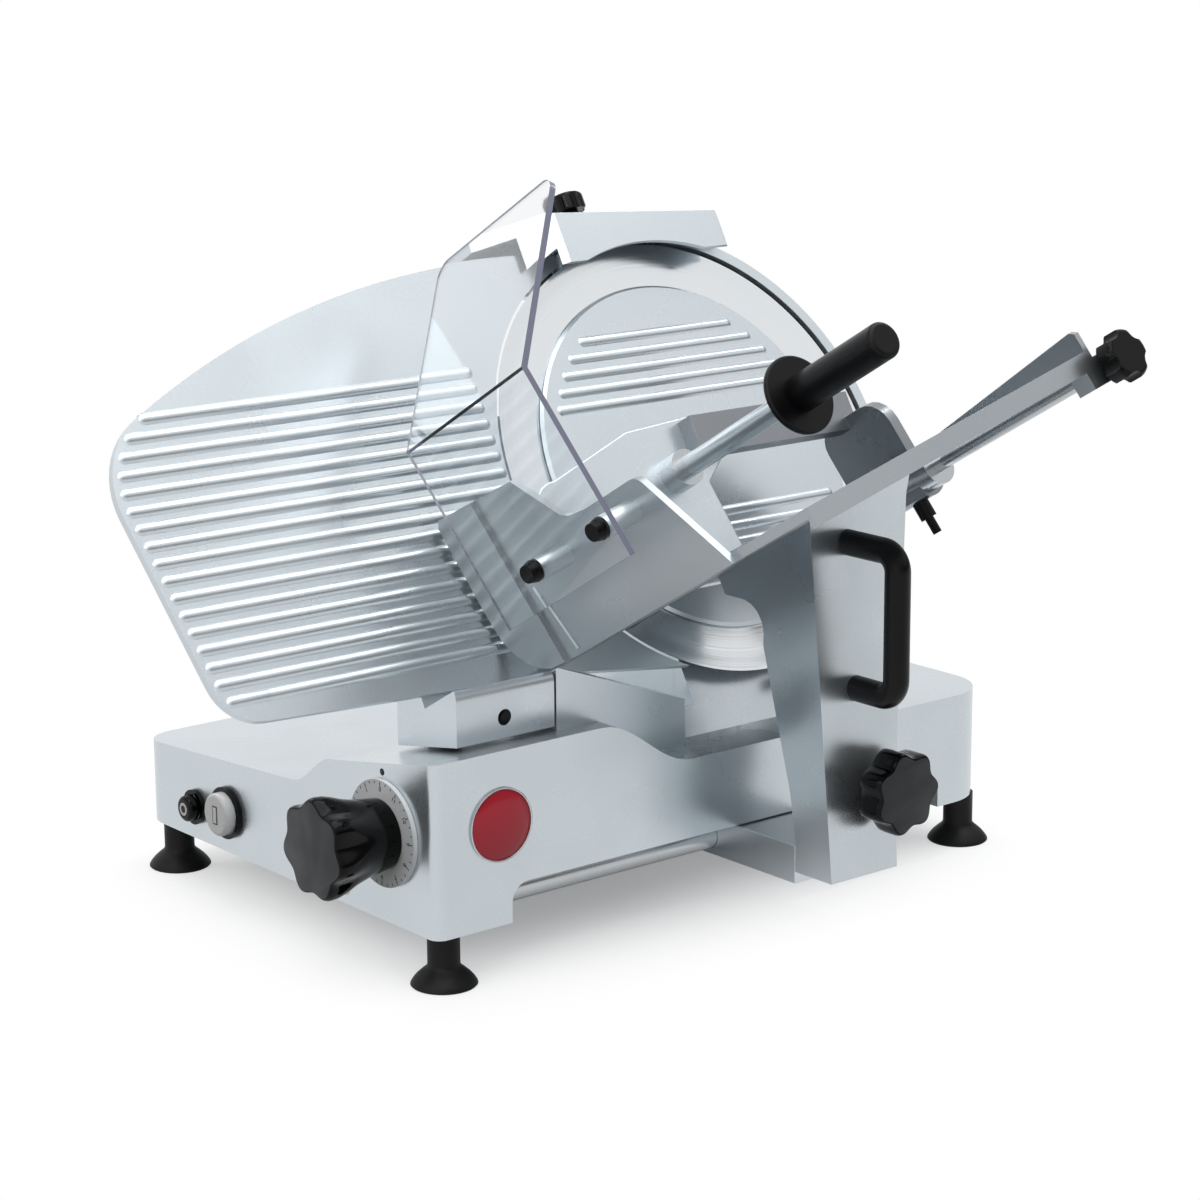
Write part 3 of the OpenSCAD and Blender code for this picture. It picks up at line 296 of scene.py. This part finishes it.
print("black plastics made:", phenolic.name, grip_black.name, switch_black.name)

# %% [markdown]
# ## Clear guard sheet
# The guard is 4 mm acrylic sheet. Light that runs along inside the sheet leaves at its cut
# edges, which look bluish and darker than the clear faces, so the edges get their own material.
# Wiping leaves a slight haze that comes and goes over about 40 mm.

# %% Acrylic
HAZE_MM, HAZE, ACRYLIC_IOR = 40, 0.03, 1.49


def acrylic(name, colour, clear, rough):
    made, tree, coords, shader = new_material(name)
    haze = add(tree, "ShaderNodeTexNoise",
               {"Vector": coords, "Scale": 1 / (HAZE_MM * MM), "Detail": 3.0})
    sheen = add(tree, "ShaderNodeMapRange",
                {"Value": haze.outputs["Fac"], **NOISE_SPAN,
                 "To Min": rough, "To Max": rough + HAZE})
    tree.links.new(sheen.outputs[0], shader.inputs["Roughness"])
    shader.inputs["Base Color"].default_value = linear(colour)
    shader.inputs["IOR"].default_value = ACRYLIC_IOR
    shader.inputs["Transmission Weight"].default_value = clear
    return made


clear_sheet = acrylic("clear_acrylic_sheet", "#F4F6F8", clear=1.0, rough=0.0)
sheet_edge = acrylic("acrylic_cut_edge", "#85879E", clear=0.2, rough=0.2)
print("acrylic made:", clear_sheet.name, sheet_edge.name)

# %% [markdown]
# ## Finishes on the plain solids
# Many solids already have the right shape, such as rods, bearings and screws. They stay as they
# are and take the finish of their slot. A few are machined or blasted differently from the rest
# of their slot, and take their own.

# %% Slot finishes
finish_of_slot = {
    "cast_aluminium": anodised, "knife_steel": knife_steel, "steel": ground_steel,
    "black_plastic": phenolic, "black_rubber": foot_rubber, "white_plastic": white_abs,
    "grip_plastic": grip_black, "dial_plastic": dial_abs, "bronze": bronze,
    "stone_grit": grit_stone, "clear_acrylic": clear_sheet, "motor_steel": motor_paint,
    "switch_plastic": switch_black,
}
for name, piece in nodes.items():
    piece.data.materials.clear()
    piece.data.materials.append(finish_of_slot[slot_of_node[name]])
for name in ("pusher_arm", "knife_pulley", "motor_pulley", "gauge_slider"):
    nodes[name].data.materials[0] = machined_steel
# The tray takes the darker copy of the casting metal, whose colour is painted shade.
nodes["product_tray"].data.materials[0] = tray_painted_shade
print("finished nodes:", len(nodes))

# %% [markdown]
# ## Softened castings
# A sand casting has no sharp edges: its corners are rounded by the pattern and by polishing.
# Each casting is copied, its flat faces are joined again, and a Bevel modifier rounds the edges
# that are sharper than 32 degrees. The frame's own shading normals belong to the loose triangles,
# so they come off the copy: left on, they smear the light over flat faces. The base's lower rim
# is milled, so it stays crisp, and a piece with no width given, such as the knife, is only welded
# and shaded smooth. The copy then stands for the solid.

# %% Softened castings
CAD_WELD = 0.02 * MM
FLAT, SHARP = math.radians(0.4), math.radians(32)
ROUND_STEPS = 3
FOOT_H = 34
MILLED_BELOW = FOOT_H + 1
edge_widths = {
    "base_casting": 3.5, "gauge_block": 3.0, "wedge_casting": 3.0, "carriage_arm": 3.0,
    "carriage_foot": 2.0, "product_tray": 1.2, "knife_housing": 1.6, "sharpener_head": 3.0,
    "gauge_plate": 0, "knife_cover": 0, "knife": 0, "pusher_plate": 1.0, "pusher_arm": 1.5,
    "hand_disc": 1.4,
}


def softened(node, width_mm, crisp_below_mm):
    mesh = nodes[node].data.copy()
    mesh.name = node + "_soft"
    shape = bmesh.new()
    shape.from_mesh(mesh)
    bmesh.ops.remove_doubles(shape, verts=shape.verts, dist=CAD_WELD)
    if width_mm:
        bmesh.ops.dissolve_limit(shape, angle_limit=FLAT, verts=shape.verts, edges=shape.edges)
        weight = shape.edges.layers.float.new("bevel_weight_edge")
        for edge in shape.edges:
            low = max(v.co.z for v in edge.verts) < crisp_below_mm * MM
            edge[weight] = 1.0 if edge.calc_face_angle(0.0) > SHARP and not low else 0.0
    for edge in shape.edges:
        edge.smooth = edge.calc_face_angle(0.0) < SHARP
    for face in shape.faces:
        face.smooth = True
    shape.to_mesh(mesh)
    shape.free()
    mesh.attributes.remove(mesh.attributes["custom_normal"])
    piece = bpy.data.objects.new(node + "_soft", mesh)
    bpy.context.collection.objects.link(piece)
    if width_mm:
        rounding = piece.modifiers.new("cast edge", "BEVEL")
        rounding.width = width_mm * MM
        rounding.segments = ROUND_STEPS
        rounding.limit_method = "WEIGHT"
        rounding.harden_normals = True
        rounding.miter_outer = "MITER_ARC"
    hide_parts(node)
    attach(piece, body_of_node[node])
    return piece


soft = {}
for node, width in edge_widths.items():
    soft[node] = softened(node, width, MILLED_BELOW if node == "base_casting" else 0.0)
print("softened castings:", len(soft))

# %% [markdown]
# ## Putting a piece in place
# Every new piece has its place in its mesh, so that its object stays at the origin and the
# patterns on it stay where they are. One helper moves the shape, makes it an object, gives it
# its finish and says which body it rides on.

# %% Placing
CREASE = math.radians(35)


def placed(name, shape, place, body, finish, smooth=True):
    bmesh.ops.transform(shape, matrix=place, verts=shape.verts)
    mesh = bpy.data.meshes.new(name)
    shape.to_mesh(mesh)
    shape.free()
    if smooth:
        mesh.shade_smooth()
        mesh.set_sharp_from_angle(angle=CREASE)
    piece = bpy.data.objects.new(name, mesh)
    bpy.context.collection.objects.link(piece)
    mesh.materials.append(finish)
    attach(piece, body)
    return piece


print("edges sharper than this stay creased, in degrees:", round(math.degrees(CREASE)))

# %% [markdown]
# ## Guard sheet
# The guard is one sheet, heated along a line and folded by 45 degrees. It starts from its side
# view, a thin bent strip, which is pushed out to the sheet's width. The two far corners are
# rounded, and every face that isn't one of the broad ones takes the edge's tint.

# %% Guard
SHEET, REACH, FOLD_AT, FOLD = 4.0, 132.0, 148.0, math.radians(45)
OUTER_X, LOWER_Y = -34.0, 27.0
GUARD_FROM, GUARD_WIDTH, GUARD_CORNER, CORNER_STEPS = 50, 130, 11, 8
BROAD_AREA = 0.008


def bent_sheet(node, strip_mm):
    shape = bmesh.new()
    outline = [shape.verts.new((x * MM, y * MM, GUARD_FROM * MM)) for x, y in strip_mm]
    side = shape.faces.new(outline)
    pushed = bmesh.ops.extrude_face_region(shape, geom=[side])
    far = [g for g in pushed["geom"] if isinstance(g, bmesh.types.BMVert)]
    bmesh.ops.translate(shape, vec=(0, 0, GUARD_WIDTH * MM), verts=far)
    bmesh.ops.recalc_face_normals(shape, faces=shape.faces)
    top = max(v.co.y for v in shape.verts) - SHEET * MM
    corners = [e for e in shape.edges
               if all(v.co.y > top for v in e.verts) and e.calc_length() < 1.5 * SHEET * MM]
    bmesh.ops.bevel(shape, geom=corners, offset=GUARD_CORNER * MM, offset_type="OFFSET",
                    segments=CORNER_STEPS, profile=0.5, affect="EDGES", material=-1)
    for face in shape.faces:
        face.material_index = 0 if face.calc_area() > BROAD_AREA else 1
    piece = placed(node + "_sheet", shape, tray_place, body_of_node[node],
                   clear_sheet, smooth=False)
    piece.data.materials.append(sheet_edge)
    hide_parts(node)
    return piece


inner_x = OUTER_X + SHEET
tip_x, tip_y = inner_x + REACH * math.sin(FOLD), FOLD_AT + REACH * math.cos(FOLD)
strip = [(OUTER_X, LOWER_Y), (inner_x, LOWER_Y), (inner_x, FOLD_AT), (tip_x, tip_y),
         (tip_x - SHEET * math.cos(FOLD), tip_y + SHEET * math.sin(FOLD)),
         (OUTER_X, FOLD_AT + SHEET * math.tan(FOLD / 2))]
guard = bent_sheet("clear_guard", strip)
print("guard faces:", len(guard.data.polygons))

# %% [markdown]
# ## Turned trim
# The badge, its rim, the plugs and the index dot are round: half an outline spun about an axis.
# One helper spins an outline of radius and height points, and a second makes a piece of it.

# %% Turned trim
WELD = 0.01 * MM
TURN_STEPS, SMALL_STEPS = 40, 24


def spin_outline(shape, outline, steps, centre=(0, 0, 0)):
    points = [shape.verts.new(Vector(centre) + Vector((r, 0, h)) * MM) for r, h in outline]
    edges = [shape.edges.new(pair) for pair in zip(points, points[1:])]
    bmesh.ops.spin(shape, geom=points + edges, cent=centre, axis=(0, 0, 1), angle=math.tau,
                   steps=steps, use_merge=True)


def turned(name, outline, place, body, finish, steps=TURN_STEPS):
    shape = bmesh.new()
    spin_outline(shape, outline, steps)
    bmesh.ops.remove_doubles(shape, verts=shape.verts, dist=WELD)
    bmesh.ops.recalc_face_normals(shape, faces=shape.faces)
    return placed(name, shape, place, body, finish)


dome = [(0, 3.2), (7, 3.0), (14, 2.3), (20, 1.2), (21.9, 0.4), (21.9, 0), (0, 0)]
badge_place = on_base((48, 0, 97), front_face)
badge = turned("round_badge", dome, badge_place, "base", enamel_red)
ring = [(21.8, 0), (21.8, 1.4), (22.3, 1.8), (22.9, 1.4), (22.9, 0), (21.8, 0)]
turned("badge_rim", ring, badge_place, "base", ground_steel)
plug = [(0, 1.2), (3.6, 1.0), (4.5, 0.4), (4.5, 0), (0, 0)]
turned("side_plug", plug, on_base((0, 94, 44), left_face), "base", ground_steel)
dot = [(0, 0.6), (1.6, 0.5), (2.2, 0.1), (2.2, 0), (0, 0)]
turned("index_dot", dot, on_base((0, 52, 127), left_face), "base", ink,
       SMALL_STEPS)
stopper = [(0, 1.0), (3.4, 1.0), (3.4, 0.2), (4.8, 0.2), (4.8, -4), (0, -4)]
turned("block_plug", stopper, on_base((72.2, 27, 153), front_face), "gauge",
       phenolic, SMALL_STEPS)
print("badge faces:", len(badge.data.polygons))

# %% [markdown]
# ## Feet
# The feet are moulded rubber: a straight stem and a rounded bell that ends in a thin lip on the
# counter. One outline is spun at each corner of the base, in one mesh.

# %% Feet
FOOT_INSET, BASE_LEN, BASE_DEP = 17, 468, 330
bell = [(0, 0), (19.6, 0), (20.4, 0.8), (20.2, 1.6), (18.9, 3.6), (16.7, 6.2), (13.6, 9),
        (11.3, 10.8), (10.2, 12.2), (9.9, 13.5), (9.9, FOOT_H), (0, FOOT_H)]
feet_shape = bmesh.new()
for u in (FOOT_INSET, BASE_LEN - FOOT_INSET):
    for v in (FOOT_INSET, BASE_DEP - FOOT_INSET):
        spin_outline(feet_shape, bell, TURN_STEPS, at_base(u, v, 0))
bmesh.ops.remove_doubles(feet_shape, verts=feet_shape.verts, dist=WELD)
bmesh.ops.recalc_face_normals(feet_shape, faces=feet_shape.faces)
feet = placed("bell_feet", feet_shape, Matrix.Identity(4), "base", foot_rubber)
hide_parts("rubber_feet")
print("feet faces:", len(feet.data.polygons))

# %% [markdown]
# ## Rib ends
# In the photograph the ribs of the gauge plate run out almost to its rounded left edge, further
# than on the solid. The edge is an upper and a lower arc with a straight line between them. Each
# rib gets an end of the same section, a capsule cut flat just under the plate's face, which starts
# near the edge and covers the solid's own rib end. Its radius is 0.03 mm over the solid's 5 mm,
# so that the two skins don't flicker.

# %% Rib ends
UPPER_X, UPPER_N, UPPER_R = -373.5, 27.5, 55.0
LOWER_X, LOWER_N, LOWER_R = -376.0, -84.0, 32.0
ARC_END = math.radians(190)
RIB_COUNT, RIB_TOP, RIB_PITCH, RIB_RISE, RIB_R = 17, 75, 11, 1.8, 5.03
EDGE_ROOM, END_LENGTH, SUNK, RIB_STEPS = 7.0, 32.0, 1.0, 24


def plate_edge(n):
    top_x, top_n = UPPER_X + UPPER_R * math.cos(ARC_END), UPPER_N + UPPER_R * math.sin(ARC_END)
    low_x, low_n = LOWER_X + LOWER_R * math.cos(ARC_END), LOWER_N + LOWER_R * math.sin(ARC_END)
    if n > top_n:
        return UPPER_X - math.sqrt(UPPER_R ** 2 - (n - UPPER_N) ** 2)
    if n < low_n:
        return LOWER_X - math.sqrt(LOWER_R ** 2 - (n - LOWER_N) ** 2)
    return low_x + (top_x - low_x) * (n - low_n) / (top_n - low_n)


ribs_shape = bmesh.new()
for row in range(RIB_COUNT):
    n = RIB_TOP - row * RIB_PITCH
    start = plate_edge(n) + EDGE_ROOM
    made = bmesh.ops.create_uvsphere(ribs_shape, u_segments=RIB_STEPS, v_segments=RIB_STEPS,
                                     radius=RIB_R * MM,
                                     matrix=Matrix.Rotation(QUARTER, 4, "Y"))["verts"]
    inner_half = [v for v in made if v.co.x > WELD]
    bmesh.ops.translate(ribs_shape, vec=(END_LENGTH * MM, 0, 0), verts=inner_half)
    bmesh.ops.translate(ribs_shape, vec=Vector((start, n, RIB_RISE - RIB_R)) * MM, verts=made)
everything = ribs_shape.verts[:] + ribs_shape.edges[:] + ribs_shape.faces[:]
cut = bmesh.ops.bisect_plane(ribs_shape, geom=everything, dist=WELD / 10,
                             plane_co=(0, 0, -SUNK * MM), plane_no=(0, 0, 1),
                             clear_inner=True)["geom_cut"]
bmesh.ops.edgenet_fill(ribs_shape, edges=[g for g in cut if isinstance(g, bmesh.types.BMEdge)])
bmesh.ops.recalc_face_normals(ribs_shape, faces=ribs_shape.faces)
rib_ends = placed("rib_ends", ribs_shape, knife_place, "gauge",
                  soft["gauge_plate"].data.materials[0])
print("rib end faces:", len(rib_ends.data.polygons))

# %% [markdown]
# ## Dial marks
# The thickness dial is printed with a tick every ten degrees, a longer one at every third, and
# the numbers 0 to 11 inside the long ticks. Ticks are small flat blocks set round the dial, and
# the numbers are text that is made a mesh before it is put in place.

# %% Dial marks
DIAL_FACE, TICKS, TICK_END, TICK_RISE = 3.3, 36, 32, 0.05
LONG_TICK, SHORT_TICK = (2.6, 0.5, 0.2), (1.5, 0.5, 0.2)
NUMBERS, NUMBER_AT, NUMBER_H, NUMBER_DEPTH = 12, 27.4, 3.0, 0.15
DIGIT_SHARE = 0.7


def block(name, size_mm, place, body, finish, edge_mm=0.0):
    shape = bmesh.new()
    bmesh.ops.create_cube(shape, size=MM)
    bmesh.ops.scale(shape, vec=size_mm, verts=shape.verts)
    if edge_mm:
        bmesh.ops.bevel(shape, geom=shape.edges, offset=edge_mm * MM, offset_type="OFFSET",
                        segments=2, profile=0.5, affect="EDGES", material=-1)
    return placed(name, shape, place, body, finish)


def figure(name, words, place, body, finish):
    letters = bpy.data.curves.new(name, "FONT")
    letters.body = words
    letters.size = NUMBER_H * MM / DIGIT_SHARE
    letters.align_x = "CENTER"
    letters.align_y = "CENTER"
    letters.extrude = NUMBER_DEPTH * MM
    holder = bpy.data.objects.new(name + "_text", letters)
    bpy.context.collection.objects.link(holder)
    bpy.context.view_layer.update()
    mesh = bpy.data.meshes.new_from_object(holder)
    bpy.data.objects.remove(holder)
    shape = bmesh.new()
    shape.from_mesh(mesh)
    return placed(name, shape, place, body, finish, smooth=False)


for i in range(TICKS):
    spoke = knob_place @ Matrix.Rotation(math.radians(i * 360 / TICKS), 4, "Z")
    size = SHORT_TICK if i % 3 else LONG_TICK
    tick_place = spoke @ shift(TICK_END - size[0] / 2, 0, DIAL_FACE + TICK_RISE)
    block(f"dial_tick_{i}", size, tick_place, "thickness_control", ink)
for i in range(NUMBERS):
    spoke = knob_place @ Matrix.Rotation(math.radians(i * 360 / NUMBERS), 4, "Z")
    number_place = spoke @ shift(NUMBER_AT, 0, DIAL_FACE) @ Matrix.Rotation(-QUARTER, 4, "Z")
    figure(f"dial_number_{i}", str(i), number_place, "thickness_control", ink)
print("dial ticks:", TICKS, "dial numbers:", NUMBERS)

# %% [markdown]
# ## Lobed knobs
# The big knobs are moulded in one piece: a round neck that grows into lobes, a soft edge and a
# dull grey face. A knob grows from one circle. Each ring is extruded from the last and set to its
# own radius, height and depth of lobe, and the last one is closed as the face.

# %% Lobed knobs
LOBES, LOBE_STEPS = 7, 16


def lobed_knob(node, rings, place):
    shape = bmesh.new()
    bmesh.ops.create_circle(shape, cap_ends=True, radius=MM, segments=LOBES * LOBE_STEPS)
    loop = shape.edges[:]
    ring_verts = shape.verts[:]
    for step, (radius, height, depth) in enumerate(rings):
        if step:
            grown = bmesh.ops.extrude_edge_only(shape, edges=loop)["geom"]
            loop = [g for g in grown if isinstance(g, bmesh.types.BMEdge) and not g.link_faces[1:]]
            ring_verts = [g for g in grown if isinstance(g, bmesh.types.BMVert)]
        for vert in ring_verts:
            angle = math.atan2(vert.co.y, vert.co.x)
            reach = radius * (1 - depth * (0.5 - 0.5 * math.cos(LOBES * angle)))
            vert.co = Vector((math.cos(angle) * reach, math.sin(angle) * reach, height)) * MM
    for face in bmesh.ops.edgeloop_fill(shape, edges=loop)["faces"]:
        face.material_index = 1
    bmesh.ops.recalc_face_normals(shape, faces=shape.faces)
    piece = placed(node + "_lobed", shape, place, body_of_node[node], phenolic)
    piece.data.materials.append(knob_face)
    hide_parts(node)
    return piece


thickness_rings = [(21, 0, 0), (21.6, 0.6, 0), (22.6, 8, 0), (24.2, 18, 0.01), (26.6, 27, 0.05),
                   (29.6, 35, 0.11), (31.2, 41, 0.14), (31.5, 46, 0.14), (31.2, 48.2, 0.14),
                   (30.4, 49.5, 0.14), (29.2, 50, 0.14)]
thickness_knob = lobed_knob("thickness_knob", thickness_rings, knob_place @ shift(0, 0, DIAL_FACE))
lock_rings = [(4.7, -26, 0), (4.7, 0, 0), (12, 0, 0), (12, 6, 0), (20, 6.2, 0.04),
              (25.4, 7.2, 0.14), (26.7, 9, 0.16), (27, 13, 0.16), (27, 22, 0.16),
              (26.7, 24.4, 0.16), (25.9, 25.6, 0.16), (24.8, 26, 0.16)]
lock_knob = lobed_knob("lock_knob", lock_rings, on_base((279, -82, 95), front_face))
print("lobed knobs:", thickness_knob.name, lock_knob.name)

# %% [markdown]
# ## Button marks and wall bead
# The buttons carry the usual marks for on and off, a stroke in a frame and a ring. A cast bead
# runs across the foot of the tray's side wall.

# %% Button marks and wall bead
BEAD_TURN = math.radians(-7)
stop_mark = on_base((-10.0, 262, 56), left_face)
circle = [(2.6, 0), (2.6, 0.25), (4.2, 0.25), (4.2, 0), (2.6, 0)]
turned("stop_ring", circle, stop_mark, "stop_button", white_abs)
start_mark = on_base((-10.1, 224, 61), left_face)
block("start_frame", (12.0, 5.2, 0.3), start_mark, "start_button", ink)
block("start_stroke", (10.4, 3.6, 0.5), start_mark, "start_button", white_abs)
bead_place = tray_place @ shift(-5.4, 20, 60) @ Matrix.Rotation(BEAD_TURN, 4, "X")
bead = block("wall_bead", (1.8, 46.0, 2.4), bead_place, "carriage", anodised,
             edge_mm=0.6)
print("bead faces:", len(bead.data.polygons))

# %% [markdown]
# ## Floor
# The floor is white paper that keeps the shadow under the base and turns to plain white round it.
# How far a point lies outside the base's footprint decides between the two. The plain white is
# for the camera and for reflections alone: it puts no light on dull surfaces.

# %% Floor
FLOOR_REACH, PAPER_LIFT = 12, 0.26
FADE_FROM, FADE_TO = -90, 80
WHITE = (1, 1, 1, 1)


def seen_rays(tree):
    ray = add(tree, "ShaderNodeLightPath")
    mirror = add(tree, "ShaderNodeMath",
                 {0: ray.outputs["Is Glossy Ray"], 1: ray.outputs["Is Transmission Ray"]},
                 operation="MAXIMUM")
    return ray.outputs["Is Camera Ray"], mirror.outputs[0]


floor_shape = bmesh.new()
bmesh.ops.create_grid(floor_shape, x_segments=1, y_segments=1, size=FLOOR_REACH)
floor_mesh = bpy.data.meshes.new("studio_floor")
floor_shape.to_mesh(floor_mesh)
floor_shape.free()
floor = bpy.data.objects.new("studio_floor", floor_mesh)
bpy.context.collection.objects.link(floor)
paper, tree, coords, shader = new_material("white_studio_paper")
shader.inputs["Base Color"].default_value = linear("#F4F4F4")
shader.inputs["Roughness"].default_value = 0.9
shader.inputs["Emission Color"].default_value = WHITE
camera_ray, mirror_ray = seen_rays(tree)
lift = add(tree, "ShaderNodeMath", {0: camera_ray, 1: PAPER_LIFT}, operation="MULTIPLY")
tree.links.new(lift.outputs[0], shader.inputs["Emission Strength"])
footprint = at_base(BASE_LEN / 2, BASE_DEP / 2, 0)
half_size = Vector((BASE_LEN, BASE_DEP, 0)) * MM / 2
centred = add(tree, "ShaderNodeVectorMath", {0: coords, 1: footprint}, operation="SUBTRACT")
sides = add(tree, "ShaderNodeVectorMath", {0: centred.outputs[0]}, operation="ABSOLUTE")
past = add(tree, "ShaderNodeVectorMath", {0: sides.outputs[0], 1: half_size}, operation="SUBTRACT")
over = add(tree, "ShaderNodeSeparateXYZ", {0: past.outputs[0]})
outside = add(tree, "ShaderNodeMath", {0: over.outputs["X"], 1: over.outputs["Y"]},
              operation="MAXIMUM")
far = add(tree, "ShaderNodeMapRange",
          {"Value": outside.outputs[0], "From Min": FADE_FROM * MM, "From Max": FADE_TO * MM},
          interpolation_type="SMOOTHSTEP")
seen = add(tree, "ShaderNodeMath", {0: camera_ray, 1: mirror_ray}, operation="MAXIMUM")
plain = add(tree, "ShaderNodeEmission", {"Color": WHITE, "Strength": seen.outputs[0]})
mixed = add(tree, "ShaderNodeMixShader",
            {0: far.outputs[0], 1: shader.outputs[0], 2: plain.outputs[0]})
tree.links.new(mixed.outputs[0], tree.nodes["Material Output"].inputs["Surface"])
floor_mesh.materials.append(paper)
print("floor made:", floor.name)

# %% [markdown]
# ## Room
# Polished metal shows the room it stands in. A room that is white all round would make it flat,
# so this studio is white behind, above and below, and falls to grey towards the right front,
# where a photographer hangs a dark cloth. To the camera the background is plain white, and the
# room's own light on dull surfaces is an even, weaker one.

# %% Room
CLOTH_TOWARD, CLOTH_FROM, CLOTH_TO = Vector((0.72, -0.69, 0.0)), -0.1, 0.8
CLOTH_LOW, CLOTH_HIGH, CLOTH_ABOVE = 0.12, 0.55, 0.25
CLOTH_GREY, ROOM_LIGHT = 0.16, 0.38
world = bpy.data.worlds.new("studio_world")
bpy.context.scene.world = world
world.use_nodes = True
sky = world.node_tree
sky.nodes.clear()
camera_ray, mirror_ray = seen_rays(sky)
toward = add(sky, "ShaderNodeTexCoord").outputs["Generated"]
cloth_side = add(sky, "ShaderNodeVectorMath", {0: toward, 1: CLOTH_TOWARD},
                 operation="DOT_PRODUCT")
cloth = add(sky, "ShaderNodeMapRange",
            {"Value": cloth_side.outputs["Value"], "From Min": CLOTH_FROM, "From Max": CLOTH_TO},
            interpolation_type="SMOOTHSTEP")
height = add(sky, "ShaderNodeSeparateXYZ", {0: toward})
below = add(sky, "ShaderNodeMapRange",
            {"Value": height.outputs["Z"], "From Min": CLOTH_LOW, "From Max": CLOTH_HIGH,
             "To Min": 1.0, "To Max": CLOTH_ABOVE}, interpolation_type="SMOOTHSTEP")
dark = add(sky, "ShaderNodeMath", {0: cloth.outputs[0], 1: below.outputs[0]},
           operation="MULTIPLY")
room = add(sky, "ShaderNodeMapRange",
           {"Value": dark.outputs[0], "To Min": 1.0, "To Max": CLOTH_GREY})
base_light = add(sky, "ShaderNodeMix",
                 {"Factor": mirror_ray, "A": ROOM_LIGHT, "B": room.outputs[0]})
strength = add(sky, "ShaderNodeMix",
               {"Factor": camera_ray, "A": base_light.outputs[0], "B": 1.0})
back = add(sky, "ShaderNodeBackground", {"Color": WHITE, "Strength": strength.outputs[0]})
add(sky, "ShaderNodeOutputWorld", {"Surface": back.outputs[0]})
print("room made:", world.name)

# %% [markdown]
# ## Lamps
# Two softboxes and a large one above light the machine. Three narrow strips are weak, and show as
# crisp lines in the gloss of the black knobs.

# %% Lamps
AIM = Vector((0, 0, 0.2))


def softbox(name, place, size, watts):
    data = bpy.data.lights.new(name, "AREA")
    data.shape = "RECTANGLE"
    data.size, data.size_y = size
    data.energy = watts
    lamp = bpy.data.objects.new(name, data)
    bpy.context.collection.objects.link(lamp)
    aim = (AIM - Vector(place)).to_track_quat("-Z", "Y")
    lamp.matrix_world = Matrix.Translation(place) @ aim.to_matrix().to_4x4()
    return lamp


lamps = [
    softbox("left_softbox", place=(-2.0, -0.6, 1.6), size=(2.2, 1.6), watts=11),
    softbox("right_softbox", place=(1.5, -1.5, 1.5), size=(2.0, 1.4), watts=2),
    softbox("top_softbox", place=(0.1, -0.3, 2.2), size=(2.4, 2.0), watts=29),
    softbox("edge_strip", place=(-0.9, -1.2, 1.9), size=(0.5, 0.03), watts=1.2),
    softbox("back_strip", place=(-0.1, 1.7, 1.7), size=(0.8, 0.03), watts=3),
    softbox("right_strip", place=(1.3, 0.0, 1.8), size=(0.03, 0.8), watts=3),
]
bpy.context.scene.view_settings.view_transform = "Standard"
print("lamps:", [lamp.name for lamp in lamps])
